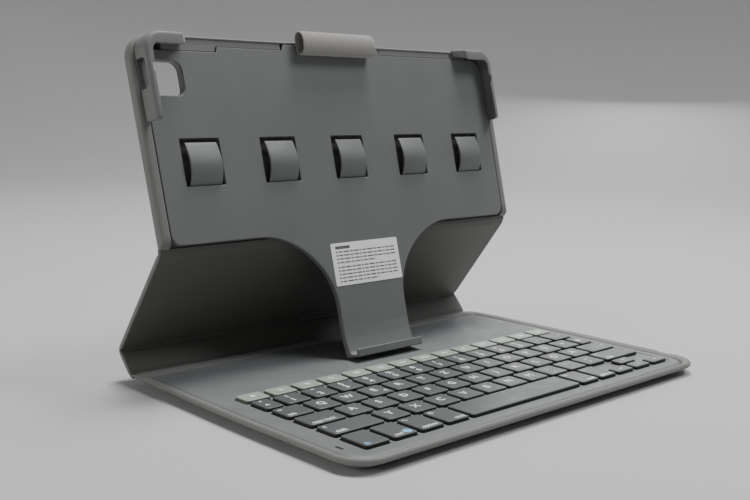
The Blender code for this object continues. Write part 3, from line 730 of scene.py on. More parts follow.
def build_base_skin():
    """The base's rubber skin: an underside that curves in, and a thin round rim around the deck."""
    stations = [
        (12.0, 0.0, BASE_BACK),
        (9.2, 0.0, BASE_BACK),
        (8.4, 0.1, BASE_BACK),
        (7.4, 0.5, BASE_BACK),
        (6.2, 1.1, BASE_BACK),
        (4.8, 1.9, BASE_BACK),
        (3.4, 2.6, BASE_BACK),
        (2.2, 3.1, BASE_BACK),
        (1.2, 3.55, BASE_BACK),
        (0.5, 4.05, BASE_BACK),
        (0.1, 4.6, BASE_BACK),
        (0.0, 5.1, BASE_BACK),
        (0.06, 5.5, BASE_BACK),
        (0.22, 5.85, BASE_BACK),
        (0.5, 6.25, BASE_BACK),
        (0.85, 6.55, BASE_BACK),
        (1.25, 6.77, BASE_BACK),
        (1.75, RIM_TOP - 0.03, BASE_BACK),
        (2.25, RIM_TOP - 0.04, 84.0, RIM_TOP - 0.02),
        (2.65, 6.7, 76.2, 6.8),
        (2.95, 6.4, 75.6, 6.68),
        (3.18, 6.0, 75.2, 6.5),
        (3.36, 5.6, 75.0, 6.4),
        (3.5, 5.2, 74.8, 6.25),
        (3.62, 4.98, 74.6),
        (4.2, 4.92, 74.6),
        (9.5, 4.9, 74.6),
        (9.5, SKIN_FLOOR, 74.6),
        (12.5, SKIN_FLOOR, 71.6),
    ]
    skin = make("base_skin_shell", [loft([base_ring(*s) for s in stations])], look=SKIN_LOOK, smooth=50)
    low, high = box_mm("charging_port")
    room = 0.35
    notch = fillet(
        [
            (low.y - room, low.z - room, 0.9),
            (high.y + room, low.z - room, 0.9),
            (high.y + room, high.z + room, 0.9),
            (low.y - room, high.z + room, 0.9),
        ]
    )
    dent = fillet(
        [
            (low.y - 1.6, RIM_TOP + 1.0, 0.1),
            (low.y + 0.2, RIM_TOP - 0.75, 1.4),
            (high.y - 0.2, RIM_TOP - 0.75, 1.4),
            (high.y + 1.6, RIM_TOP + 1.0, 0.1),
        ]
    )
    cutters = [
        loft([[(x, y, z) for y, z in notch] for x in (124.0, 140.0)]),
        loft([[(x, y, z) for y, z in dent] for x in (130.6, 140.0)]),
    ]
    carve(skin, cutters, smooth=50)
    finish_piece(skin, "keyboard_base", "skin_rubber", "base_skin")


def key_nodes():
    return [body[:-5] for body in frame["bodies"] if body.endswith("_body")]


def cap_boxes(node):
    """(left, right, front, back) of each key cap in a node, from the corners of its shoulder."""
    shoulder = 7.3
    points = [v.co / MM for v in frame["nodes"][node].data.vertices]
    points = [p for p in points if abs(p.z - shoulder) < 0.05]
    front, back = min(p.y for p in points), max(p.y for p in points)
    boxes = []
    run = []
    for x in sorted(p.x for p in points):
        if run and x - run[-1] > 2.0 and x - run[0] > 8.0 and front_gap(run[-1], x, points):
            boxes.append((run[0], run[-1], front, back))
            run = []
        run.append(x)
    boxes.append((run[0], run[-1], front, back))
    return boxes


def front_gap(left, right, points):
    """True if the space between two corners is a gap between caps: their widest rows end there."""
    near = [p for p in points if abs(p.x - left) < 0.01 or abs(p.x - right) < 0.01]
    deep = max(p.y for p in near) - min(p.y for p in near)
    return abs(right - left - 2.75) < 0.6 and deep > 3.0


def build_deck(boxes):
    """The moulded deck: rounded edge beside the hem's groove, and a shallow field for the keys."""

    def outline(gap):
        return base_outline(RIM_WIDTH + 0.12 + gap, DECK_HIGH.y - 0.3 * gap)

    margin = 3.0
    field = (
        min(b[0] for b in boxes) - margin,
        max(b[1] for b in boxes) + margin,
        min(b[2] for b in boxes) - 1.6,
        max(b[3] for b in boxes) + margin,
    )
    depth = 0.35

    def field_ring(inward):
        """The field's outline, with as many points as the deck's, in the same order."""
        left, right, front, back = field
        corner = 2.4 - inward
        low = front + inward + corner
        points = arc((left + inward + corner, low), corner, 180, 270, 16)
        points += arc((right - inward - corner, low), corner, 270, 360, 16)
        count = (len(outline(0.0)) - len(points)) // 2
        rise = [low + (back - inward - low) * (n + 1) / count for n in range(count)]
        side = [(right - inward, y) for y in rise]
        return points + side + [(left + inward, y) for _, y in reversed(side)]

    rings = [
        flat(outline(0.0), DECK_LOW.z),
        flat(outline(0.0), DECK_TOP - 1.1),
        flat(outline(0.12), DECK_TOP - 0.86),
        flat(outline(0.36), DECK_TOP - 0.62),
        flat(outline(0.75), DECK_TOP - 0.38),
        flat(outline(1.3), DECK_TOP - 0.18),
        flat(outline(2.0), DECK_TOP - 0.05),
        flat(outline(2.7), DECK_TOP),
        flat(outline(3.0), DECK_TOP),
        flat(field_ring(-0.1), DECK_TOP),
        flat(field_ring(0.0), DECK_TOP),
        flat(field_ring(0.15), DECK_TOP - 0.08),
        flat(field_ring(0.3), DECK_TOP - depth),
        flat(field_ring(0.45), DECK_TOP - depth),
    ]
    deck = make("keyboard_deck_plate", [loft(rings)], look=DECK_LOOK, smooth=45)
    gap = 0.4
    cutters = []
    for left, right, front, back in boxes:
        hole = rounded(left - gap, right + gap, front - gap, back + gap, [1.5] * 4, 3)
        cutters.append(prism(hole, DECK_LOW.z - 1, DECK_TOP + 1))
    low, high = box_mm("status_light_lens")
    slot = rounded(low.x - 0.5, high.x + 0.5, low.y - 0.5, high.y + 0.5, [0.85] * 4, 4)
    cutters.append(prism(slot, DECK_LOW.z - 1, DECK_TOP + 1))
    carve(deck, cutters, smooth=45)
    finish_piece(deck, "keyboard_base", "deck_plastic", "keyboard_deck")


# ---------------------------------------------------------------- keys

KEY_TOP = 8.0
LEGEND_HEIGHT = (KEY_TOP - 0.02, KEY_TOP + 0.02)


def cap_body(rect):
    """One cap: upright dark sides, a round shoulder and a flat top."""
    stations = (
        (5.6, 0.0),
        (7.2, 0.0),
        (7.55, 0.05),
        (7.8, 0.18),
        (7.94, 0.38),
        (KEY_TOP, 0.7),
        (KEY_TOP, 1.0),
    )
    rings = []
    for height, inset in stations:
        left, right, front, back = rect
        size = (left + inset, right - inset, front + inset, back - inset)
        rings.append(flat(rounded(*size, [max(1.5 - inset, 0.5)] * 4, 5), height))
    return loft(rings)


def glyphs(text, size, centre, bold=0.0):
    """Bodies of a piece of text lying on a key's top, centred on a point."""
    curve = bpy.data.curves.new("legend", "FONT")
    curve.body = text
    curve.size = size
    curve.align_x = "CENTER"
    curve.align_y = "CENTER"
    curve.extrude = (LEGEND_HEIGHT[1] - LEGEND_HEIGHT[0]) / 2
    curve.offset = bold
    curve.resolution_u = 3
    obj = bpy.data.objects.new("legend", curve)
    bpy.context.scene.collection.objects.link(obj)
    bpy.context.view_layer.update()
    graph = bpy.context.evaluated_depsgraph_get()
    mesh = bpy.data.meshes.new_from_object(obj.evaluated_get(graph))
    middle = sum(LEGEND_HEIGHT) / 2
    verts = [(v.co.x + centre[0], v.co.y + centre[1], v.co.z + middle) for v in mesh.vertices]
    faces = [list(p.vertices) for p in mesh.polygons]
    bpy.data.objects.remove(obj)
    bpy.data.curves.remove(curve)
    bpy.data.meshes.remove(mesh)
    return verts, faces


def sign(points, centre, size, turn=0.0):
    """A flat sign from an outline in units of its size."""
    c, s = math.cos(turn), math.sin(turn)
    outline = [
        (centre[0] + size * (x * c - y * s), centre[1] + size * (x * s + y * c)) for x, y in points
    ]
    return prism(outline, *LEGEND_HEIGHT)


ARROW = [(-1, -0.14), (0.1, -0.14), (0.1, -0.55), (1, 0), (0.1, 0.55), (0.1, 0.14), (-1, 0.14)]
TRIANGLE = [(-0.5, -0.6), (0.6, 0), (-0.5, 0.6)]
BAR = [(-0.16, -0.6), (0.16, -0.6), (0.16, 0.6), (-0.16, 0.6)]
WORD_SIZE = 3.7
DISC = [(0.42 * math.cos(math.tau * n / 16), 0.42 * math.sin(math.tau * n / 16)) for n in range(16)]
SPEAKER = [(-0.9, -0.3), (-0.45, -0.3), (0, -0.7), (0, 0.7), (-0.45, 0.3), (-0.9, 0.3)]


def ring_sign(centre, radius, wall=0.3, steps=20):
    """An open ring, as a strip that almost closes."""
    outer = [math.tau * n / steps * 0.995 for n in range(steps + 1)]
    points = [(radius * math.cos(a), radius * math.sin(a)) for a in outer]
    points += [((radius - wall) * math.cos(a), (radius - wall) * math.sin(a)) for a in reversed(outer)]
    return prism([(centre[0] + x, centre[1] + y) for x, y in points], *LEGEND_HEIGHT)


def rays(centre, inner, outer, count=8):
    made = []
    for n in range(count):
        turn = math.tau * n / count
        middle = (inner + outer) / 2
        place = (centre[0] + middle * math.cos(turn), centre[1] + middle * math.sin(turn))
        half = (outer - inner) / 2
        strip = [(-half, -0.1), (half, -0.1), (half, 0.1), (-half, 0.1)]
        made.append(sign(strip, place, 1.0, turn))
    return made


def waves(centre, count):
    """Sound waves: bent bars, each taller than the one before."""
    made = []
    for n in range(count):
        tall = 0.5 + 0.3 * n
        wave = [(0.0, -tall), (0.14, -tall), (0.34, 0.0), (0.14, tall), (0.0, tall), (0.18, 0.0)]
        made.append(sign(wave, (centre[0] + 0.9 + 0.9 * n, centre[1]), 1.7))
    return made


def function_signs(number, centre):
    """Plain signs for the function row, from home on the left to lock on the right."""
    x, y = centre
    if number == 0:
        return [sign([(-0.6, -0.5), (0.6, -0.5), (0.6, 0.2), (0, 0.8), (-0.6, 0.2)], centre, 2.3)]
    if number in (1, 2):
        size = 1.8 + 0.5 * number
        return [sign(DISC, centre, size)] + rays(centre, 0.62 * size, 0.95 * size)
    if number == 3:
        handle = sign([(0, -0.2), (1.6, -0.2), (1.6, 0.2), (0, 0.2)], (x + 0.7, y - 0.8), 1.0, -0.8)
        return [ring_sign((x - 0.4, y + 0.4), 1.7, 0.5), handle]
    if number == 4:
        return [ring_sign(centre, 1.9, 0.45), sign(BAR, centre, 2.2)]
    if number == 5:
        return [sign(BAR, (x + 1.5 * n, y - 0.6 * abs(n)), 2.2) for n in (-1, 0, 1)]
    if number == 6:
        return [sign(TRIANGLE, (x + side, y), 2.1, math.pi) for side in (-1.2, 1.2)]
    if number == 7:
        bars = [sign(BAR, (x + side, y), 2.2) for side in (1.4, 2.5)]
        return [sign(TRIANGLE, (x - 1.0, y), 2.4)] + bars
    if number == 8:
        return [sign(TRIANGLE, (x + side, y), 2.1) for side in (-1.2, 1.2)]
    if number in (9, 10, 11):
        return [sign(SPEAKER, (x - 0.6, y), 2.1)] + waves(centre, number - 9)
    if number == 12:
        bar = [(-1, -0.14), (1, -0.14), (1, 0.14), (-1, 0.14)]
        return [sign(bar, (x, y + side), 2.1) for side in (-1.3, 0.0, 1.3)]
    body = [(-0.7, -0.9), (0.7, -0.9), (0.7, 0.2), (-0.7, 0.2)]
    return [ring_sign((x, y + 0.9), 1.1, 0.4), sign(body, centre, 2.0)]


ROWS = {
    "number_row_keys": list("^1234567890ß´"),
    "upper_letter_keys": list("QWERTZUIOPÜ+#"),
    "home_letter_keys": list("ASDFGHJKLÖÄ"),
    "lower_letter_keys": list("YXCVBNM,.-"),
}
SHIFTED = {
    "number_row_keys": list("°!\"§$%&/()=?`"),
    "lower_letter_keys": [""] * 7 + list(";:_"),
}
WORDS = {
    "tab_key": "tab",
    "caps_lock_key": "caps lock",
    "left_shift_key": "shift",
    "right_shift_key": "shift",
    "function_shift_key": "fn",
    "control_key": "ctrl",
    "left_option_key": "option",
    "left_command_key": "cmd",
    "right_command_key": "cmd",
    "right_option_key": "option",
}
ARROWS = {
    "left_arrow_key": math.pi,
    "up_arrow_key": math.pi / 2,
    "down_arrow_key": -math.pi / 2,
    "right_arrow_key": 0.0,
    "backspace_key": math.pi,
    "enter_key": math.pi,
}


def legend_bodies(node, boxes):
    """White legends of a node's caps, and the ones in blue."""
    white = []
    blue = []
    for n, (left, right, front, back) in enumerate(boxes):
        centre = ((left + right) / 2, (front + back) / 2)
        corner = (left + 1.6, front + 2.2)
        if node == "function_row_keys":
            white += function_signs(n, centre)
        elif node in ROWS:
            shifted = SHIFTED.get(node, [""] * len(ROWS[node]))[n]
            if shifted:
                white.append(glyphs(shifted, 5.0, (centre[0] - 0.9, centre[1] + 2.9), 0.1))
                white.append(glyphs(ROWS[node][n], 5.4, (centre[0] - 1.4, centre[1] - 2.8), 0.13))
            else:
                white.append(glyphs(ROWS[node][n], 6.0, (centre[0] - 0.6, centre[1] + 0.3), 0.14))
            if ROWS[node][n] == "E":
                white.append(glyphs("€", 3.6, (right - 3.0, front + 3.4), 0.08))
        elif node in WORDS:
            word = WORDS[node]
            reach = 0.9 * len(word)
            start = right - 2.0 * reach - 2.0 if word in ("cmd", "option") else corner[0] - 0.6
            text = glyphs(word, WORD_SIZE, (start + reach, corner[1] + 0.3), 0.07)
            (blue if node == "function_shift_key" else white).append(text)
            sign_place = (corner[0] + 1.2, back - 3.2)
            if node in ("left_shift_key", "right_shift_key"):
                white.append(sign(ARROW, sign_place, 1.5, math.pi / 2))
            if node == "tab_key":
                white.append(sign(ARROW, sign_place, 1.6))
            if node in ("left_option_key", "right_option_key"):
                steps = ((-0.5, 0.5, 0.0), (0.6, -0.5, 0.0))
                white += [sign(BAR, (sign_place[0] + x, sign_place[1] + y), 1.4, 1.57) for x, y, _ in steps]
            if node in ("left_command_key", "right_command_key"):
                white.append(ring_sign(sign_place, 1.3, 0.45))
            if node == "control_key":
                blue.append(sign(DISC, (right - 3.9, front + 3.4), 5.6))
        if node in ARROWS:
            place = (right - 3.6, centre[1]) if node in ("backspace_key", "enter_key") else centre
            white.append(sign(ARROW, place, 1.5, ARROWS[node]))
    return white, blue


def darken_sides(obj, top_look, side_look):
    """Gives an object's upright faces the second look."""
    obj.data.materials.clear()
    obj.data.materials.append(top_look)
    obj.data.materials.append(side_look)
    for face in obj.data.polygons:
        centre = sum((obj.data.vertices[v].co.z for v in face.vertices)) / len(face.vertices)
        face.material_index = 1 if centre / MM < 7.5 else 0


def build_keys(caps):
    for node, boxes in caps.items():
        function = node == "function_row_keys"
        name = node.replace("_keys", "_caps").replace("_key", "_cap")
        row = make(f"{name}_moulding", [cap_body(rect) for rect in boxes])
        looks = (FUNCTION_LOOK, FUNCTION_SIDE_LOOK) if function else (KEY_LOOK, KEY_SIDE_LOOK)
        darken_sides(row, *looks)
        slot = "function_key_plastic" if function else "key_plastic"
        finish_piece(row, f"{node}_body", slot, node)
        white, blue = legend_bodies(node, boxes)
        for bodies, look, suffix in ((white, LEGEND_LOOK, "legends"), (blue, BLUE_INK, "marks")):
            if bodies:
                legend = make(f"{name}_{suffix}", bodies, look=look)
                finish_piece(legend, f"{node}_body", slot)


# ---------------------------------------------------------------- folding panels

FOLD_PINCH = 0.52  # thickness at a fold, as a share of a panel's
SHEET_HALF = 1.25


def fold_path():
    """The folding strip's centre line from the base to the holder, with round corners at its folds,
    as (point, normal, distance to the nearest fold)."""
    start = Vector((BASE_BACK - 0.3, BASE_FOLD[1]))
    lift = TRAY @ Vector((0, COVER_BOTTOM + 0.3, -4.94))
    end = Vector((lift.y, lift.z))
    corners = [start, Vector(BASE_FOLD), Vector(SPINE_FOLD), Vector(STAND_FOLD), end]
    radii = (1.4, 2.2, 1.6)
    points = [start]
    for n in range(1, 4):
        here = corners[n]
        back = (corners[n - 1] - here).normalized()
        ahead = (corners[n + 1] - here).normalized()
        reach = min(radii[n - 1], (corners[n - 1] - here).length * 0.8, (corners[n + 1] - here).length * 0.8)
        a, b = here + back * reach, here + ahead * reach
        run = (a - points[-1]).length
        stops = [s for s in (0.6, 1.3, 2.0, 3.0, 4.2, 6.0, 9.0, run / 2) if s < run / 2 + 0.01]
        sides = sorted(set([round(s, 3) for s in stops] + [round(run - s, 3) for s in stops]))
        first = points[-1]
        points += [first + (a - first).normalized() * s for s in sides if 0.2 < s < run - 0.2]
        for k in range(9):
            t = k / 8
            points.append(a * (1 - t) ** 2 + here * 2 * t * (1 - t) + b * t * t)
    last = points[-1]
    points += [last + (end - last) * share for share in (0.5, 1.0)]
    path = []
    for n, point in enumerate(points):
        before = points[max(n - 1, 0)]
        after = points[min(n + 1, len(points) - 1)]
        along = (after - before).normalized()
        distances = [(point - Vector(f)).length for f in (BASE_FOLD, SPINE_FOLD, STAND_FOLD)]
        path.append((point, Vector((-along.y, along.x)), min(distances)))
    return path


def pinch(distance):
    """Thickness of the folio near a fold, with a crease line where the board starts."""
    share = min(max((distance - 1.0) / 2.4, 0), 1)
    smooth = share * share * (3 - 2 * share)
    crease = 0.10 * math.exp(-(((distance - 3.9) / 0.5) ** 2))
    return FOLD_PINCH + (1 - FOLD_PINCH) * smooth - crease


def skin_section():
    """The outer skin across the case: a shallow channel whose turned edges close the sides."""
    out = CASE_HALF
    inner = out - 1.2
    return fillet(
        [
            (-out, -1.25, 0.9),
            (out, -1.25, 0.9),
            (out, 1.22, 0.9),
            (inner, 1.22, 0.35),
            (inner, -0.65, 0.1),
            (-inner, -0.65, 0.1),
            (-inner, 1.22, 0.35),
            (-out, 1.22, 0.9),
        ],
        4,
    )


def lining_section():
    inner = CASE_HALF - 1.28
    return fillet(
        [(-inner, 0.65, 0.1), (inner, 0.65, 0.1), (inner, 1.27, 0.3), (-inner, 1.27, 0.3)], 3
    )


def sheet(name, path, section, look):
    rings = []
    for point, normal, distance in path:
        scale = pinch(distance)
        ring = []
        for x, height in section:
            place = point + normal * height * scale
            ring.append((x, place.x, place.y))
        rings.append(ring)
    return make(name, [loft(rings)], look=look, smooth=55)


def build_folds():
    """Skin and lining from the base to the holder, in three lengths that each cross one fold."""
    path = fold_path()
    folds = [Vector(f) for f in (BASE_FOLD, SPINE_FOLD, STAND_FOLD)]

    def split_index(a, b):
        middle = (folds[a] + folds[b]) / 2
        return min(range(len(path)), key=lambda n: (path[n][0] - middle).length)

    first, second = split_index(0, 1), split_index(1, 2)
    lengths = [path[: first + 1], path[first : second + 1], path[second:]]
    skins = (("base_fold_strip", "spine_skin"), ("spine_fold_strip", "stand_skin"), ("holder_fold_strip",))
    linings = (("spine_lining",), ("stand_lining",), ())
    names = ("base_fold", "spine_fold", "holder_fold")
    for n, length in enumerate(lengths):
        for section, look, kind, nodes, slot in (
            (skin_section(), SKIN_LOOK, "skin", skins[n], "skin_rubber"),
            (lining_section(), SHADED_LINING_LOOK, "lining", linings[n], "lining_rubber"),
        ):
            piece = sheet(f"{names[n]}_{kind}", length, section, look)
            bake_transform(piece)
            if nodes:
                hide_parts(*nodes)


# ---------------------------------------------------------------- tablet holder

def camera_cutter(flares):
    """A rounded square hole through the holder; flares are (w, growth) pairs along it."""
    u, v = CAMERA_CENTRE
    half_u, half_v = CAMERA_HALF
    rings = []
    for w, grow in flares:
        size = (u - half_u - grow, u + half_u + grow, v - half_v - grow, v + half_v + grow)
        rings.append(flat(rounded(*size, [4.5 + grow] * 4, 8), w))
    return loft(rings)


def cover_ring(side, top, corner, w, bottom=COVER_BOTTOM):
    """The cover's outline, held down near its lower edge where it runs into the fold."""
    half = CASE_HALF - side
    high = COVER_TOP - top
    heights = (0.0, 0.7, 1.5, 2.6, 4.2, 7.0)
    left = [(-half, bottom + rise) for rise in heights]
    outline = [(-x, v) for x, v in left]
    outline += arc((half - corner, high - corner), corner, 0, 90, 12)
    outline += arc((-half + corner, high - corner), corner, 90, 180, 12)
    outline += left[::-1]
    limits = []
    for u, v in outline:
        share = min(max((v - COVER_BOTTOM) / 4.0, 0), 1)
        limits.append(-3.7 + 3.75 * math.sin(share * math.pi / 2))
    return [(u, v, min(w, limit)) for (u, v), limit in zip(outline, limits)]


def shelf_outlines():
    """Two strips that fill the pocket between the tray's stepped top edge and the rim."""
    high, low, notch, tab, end = COVER_TOP - 1.3, TRAY_TOP + 0.3, 170.3, 36.85, 112.0
    left = [(-end, notch), (-80.4, notch), (-79.2, low), (-tab, low), (-tab, high), (-end, high)]
    return [left, [(tab, low), (end, low), (end, high), (tab, high)]]


def build_cover():
    """The cover's skin: flat back, round outer edge, and the raised rim around the tray."""
    corner = COVER_CORNER
    stations = [
        (2.4, 2.4, corner - 2.4, COVER_BACK),
        (1.9, 1.9, corner - 1.9, COVER_BACK),
        (1.1, 1.1, corner - 1.1, -5.95),
        (0.45, 0.45, corner - 0.45, -5.45),
        (0.1, 0.1, corner - 0.1, -4.7),
        (0.0, 0.0, corner, -3.9),
        (0.0, 0.0, corner, -2.3),
        (0.15, 0.1, corner - 0.15, -1.5),
        (0.6, 0.3, corner - 0.5, -0.7),
        (1.3, 0.55, corner - 1.1, -0.2),
        (2.2, 0.8, corner - 1.8, 0.0),
        (3.4, 1.05, corner - 2.8, 0.05),
        (4.7, 1.25, corner - 3.9, 0.0),
        (5.2, 1.4, corner - 4.3, -0.08),
        (5.5, 1.5, corner - 4.5, -0.3),
        (5.6, 1.6, corner - 4.6, -1.0),
    ]
    rings = [cover_ring(*station) for station in stations]
    rings.append(cover_ring(5.65, 1.6, corner - 4.6, COVER_FLOOR, COVER_BOTTOM + 0.8))
    rings.append(cover_ring(8.5, 4.6, corner - 7.4, COVER_FLOOR, COVER_BOTTOM + 3.0))
    skin = make("cover_skin_shell", [loft(rings)], TRAY, SKIN_LOOK, smooth=50)
    carve(skin, [camera_cutter(((-9, 1.0), (6, 1.0)))], TRAY, smooth=50)
    finish_piece(skin, "tablet_holder", "skin_rubber", "cover_skin")
    strips = [slab(outline, -3.4, -0.75, 0.3) for outline in shelf_outlines()]
    shelves = make("cover_rim_shelves", strips, TRAY, SKIN_LOOK, smooth=50)
    finish_piece(shelves, "tablet_holder", "skin_rubber")


def tray_outline():
    """The tray's face down to the tongue's bend, with its stepped top edge."""
    tongue, flare_end, step = 25.2, (50.8, 70.8), 1.2
    notch_edge, notch_top = -80.0, 170.0
    tab, tab_top = 36.5, 176.05
    flare = bezier((tongue, 30.0), (tongue, 55.0), (flare_end[0], TRAY_BOTTOM), (flare_end[1], TRAY_BOTTOM), 24)
    points = [(-tongue, BEND_TOP - 3), (tongue, BEND_TOP - 3)] + flare
    points += arc((TRAY_HALF - 6, TRAY_BOTTOM + 6), 6, 270, 360, 10)
    points += arc((TRAY_HALF - 9, TRAY_TOP - 9), 9, 0, 90, 10)
    points += [(tab, TRAY_TOP), (tab - step, tab_top), (-tab + step, tab_top), (-tab, TRAY_TOP)]
    points += [(notch_edge + step, TRAY_TOP), (notch_edge, notch_top)]
    points += arc((-TRAY_HALF + 9, notch_top - 9), 9, 90, 180, 10)
    points += arc((-TRAY_HALF + 6, TRAY_BOTTOM + 6), 6, 180, 270, 10)
    points += [(-u, v) for u, v in reversed(flare)]
    return points


BEND_TOP = 18.0  # v where the tongue starts to bend forward into the foot


def build_tray():
    tray = make("tray_moulding_plate", [slab(tray_outline(), -TRAY_THICK, 0.0, 0.35, 0.3)], TRAY, TRAY_LOOK)
    below = [(-40, 0), (40, 0), (40, BEND_TOP), (-40, BEND_TOP)]
    cutters = [camera_cutter(((-9, 0.0), (-1.5, 0.0), (-0.6, 0.2), (0.6, 1.2)))]
    cutters.append(prism(below, -TRAY_THICK - 2, 2))
    for number in range(-2, 3):
        u = number * WINDOW_PITCH
        rings = []
        for w, grow in ((-TRAY_THICK - 2, 0.0), (-0.3, 0.0), (0.5, 0.7)):
            size = (u - WINDOW_HALF - grow, u + WINDOW_HALF + grow, WINDOW_V[0] - grow, WINDOW_V[1] + grow)
            rings.append(flat(rounded(*size, [0.5 + grow / 2] * 4, 3), w))
        cutters.append(loft(rings))
    carve(tray, cutters, TRAY)
    finish_piece(tray, "tablet_holder", "tray_plastic", "tablet_tray")


def build_foot():
    """The tongue's end: it bends forward, turns into the ledge through a hollow, and ends in a lip."""
    front = [(BEND_TOP + 0.3, -0.03), (BEND_TOP - 0.1, 0.0), (13.5, 0.12), (9.5, 0.6), (6.6, 1.3)]
    hollow = arc((5.1, 4.5), 2.8, 270, 180, 6)[1:]
    front += hollow
    ledge = [(2.3, 6.6), (2.35, 7.2), (2.6, 7.5), (2.95, 7.6), (3.3, 7.6), (4.5, 7.6), (4.85, 7.62)]
    ledge += [(5.1, 7.75), (5.2, 7.95), (5.2, 8.2), (5.2, 8.6), (5.18, 8.85), (5.05, 9.03), (4.8, 9.1)]
    ledge += [(4.5, 9.1), (1.5, 9.1), (1.15, 9.1), (0.92, 9.0), (0.8, 8.75), (0.8, 8.4)]
    back = [(0.8, -0.2), (1.0, -0.9), (1.6, -1.6), (3.0, -2.1), (6.6, -2.5), (9.5, -2.9), (13.5, -3.2)]
    back += [(BEND_TOP - 0.1, -TRAY_THICK), (BEND_TOP + 0.3, -TRAY_THICK + 0.03)]
    profile = front + ledge + back
    foot = make("tray_foot_moulding", [across(profile, -25.2, 25.2, 0.35)], TRAY, TRAY_LOOK, smooth=45)
    low, high = box_mm("foot_magnet")
    seat = rounded(low.x - 0.3, high.x + 0.3, 0.3, 5.7, [0.3] * 4, 2)
    carve(foot, [loft([[(u, v, w) for u, w in seat] for v in (-2.0, 1.8)])], TRAY, smooth=45)
    finish_piece(foot, "tablet_holder", "tray_plastic")


def build_leaves():
    """Bowed leaves: each starts flush in its window and stands proud of the tray's face."""
    start, end, half, thick = 102.0, 123.6, 9.5, 1.2
    section = [(-half, -thick / 2, 0.3), (half, -thick / 2, 0.3), (half, thick / 2, 0.35), (-half, thick / 2, 0.35)]
    section = fillet(section, 3)
    stations = 22
    for number, side in enumerate(LEAVES):
        u = (number - 2) * WINDOW_PITCH
        rings = []
        for n in range(stations + 1):
            t = n / stations
            w = -1.2 + 1.4 * t + 3.4 * math.sin(math.pi * t**0.85)
            thin = 0.6 if n == stations else 1.0
            v = start + (end - start) * t
            rings.append([(u + x, v, w + z * thin) for x, z in section])
        leaf = make(f"{side}_leaf_blade", [loft(rings)], TRAY, LEAF_LOOK, smooth=50)
        finish_piece(leaf, f"{side}_leaf", "tray_plastic", f"{side}_leaf_spring")


def bumper_section(wall, reach, crown=8.8):
    """A hook seen along the bumper, as (distance outside the tablet's edge, height w)."""
    inner = min(7.6, crown - 0.5)
    return fillet(
        [
            (0.0, 0.2, 0.2),
            (wall, 0.2, 0.3),
            (wall, min(3.4, crown - 0.6), 1.6),
            (wall * 0.62, min(7.0, crown - 0.3), 2.2),
            (0.1, crown, 1.3),
            (-reach, crown, 0.4),
            (-reach, inner, 0.35),
            (0.0, inner, 1.2),
        ],
        4,
    )


def bumper_reach(v):
    """How far the lip reaches in along the tablet's side: wider above a small notch."""
    if v < 157.6:
        return 2.3
    if v < 161.4:
        return 1.5
    return 3.0


def build_bumper(name, side):
    """A hook drawn round one top corner of the tablet, with slanted and rounded ends."""
    radius, side_wall, top_wall, top_reach = 9.0, 2.3, 1.5, 5.6
    low, end, taper = 134.0, 104.0, 99.0
    centre = (TABLET_HALF - radius, TABLET_TOP - radius)
    stations = []
    for rise in (0.0, 0.12, 0.35, 0.8, 1.6, 3.0, 8.0, 15.0, 23.0, 23.6, 24.2, 26.6, 27.2, 27.8):
        shrink = 1.5 * math.exp(-rise / 0.6)
        section = bumper_section(side_wall - 0.4 * shrink, bumper_reach(low + rise), 8.8 - shrink)
        stations.append(((TABLET_HALF, low + rise), 0.0, section))
    steps = 18
    for n in range(steps + 1):
        share = n / steps
        turn = math.radians(90) * share
        point = (centre[0] + radius * math.cos(turn), centre[1] + radius * math.sin(turn))
        smooth = share * share * (3 - 2 * share)
        reach = 3.0 + (top_reach - 3.0) * smooth
        stations.append((point, turn, bumper_section(side_wall + (top_wall - side_wall) * smooth, reach)))
    upright = math.radians(90)
    for u in (110.0, end + 1.4, end + 0.6, end):
        shrink = 0.7 * math.exp(-(u - end) / 0.5)
        stations.append(((u, TABLET_TOP), upright, bumper_section(top_wall, top_reach - shrink, 8.8 - 0.3 * shrink)))
    for share in (0.12, 0.5, 1.0):
        crown = 8.5 + (2.2 - 8.5) * share
        reach = (top_reach - 0.7) * (1 - 0.55 * share)
        stations.append(((end + (taper - end) * share, TABLET_TOP), upright, bumper_section(top_wall, reach, crown)))
    rings = []
    for (u, v), turn, section in stations:
        ring = []
        for out, w in section:
            ring.append((side * (u + out * math.cos(turn)), v + out * math.sin(turn), w))
        rings.append(ring)
    bumper = make(f"{name}_moulding", [loft(rings)], TRAY, BUMPER_LOOK, smooth=60)
    if side < 0:
        low_v, high_v, low_w, high_w = 149.6, 164.2, 0.9, 6.5
        rings = []
        for u, grow in ((-140.0, 2.4), (-128.4, 1.3), (-127.2, 0.0), (-121.0, 0.0)):
            size = (low_v - grow * 0.4, high_v + grow * 0.4, low_w - grow * 0.2, high_w + grow * 0.15)
            rings.append([(u, v, w) for v, w in rounded(*size, [0.6, 0.6, 1.0, 2.2], 5)])
        carve(bumper, [loft(rings)], TRAY, smooth=60)
        # Faces inside the button slot get the near-black second look: painted shade under the lip.
        bumper.data.materials.append(SLOT_SHADE_LOOK)
        inverse = TRAY.inverted()
        for face in bumper.data.polygons:
            _, v, w = inverse @ (face.center / MM)
            inside = low_v - 1.5 < v < high_v + 1.5 and 0.5 < w < 7.2
            if inside and abs(face.normal.x) < 0.6:
                face.material_index = 1
    finish_piece(bumper, "tablet_holder", "skin_rubber", name)


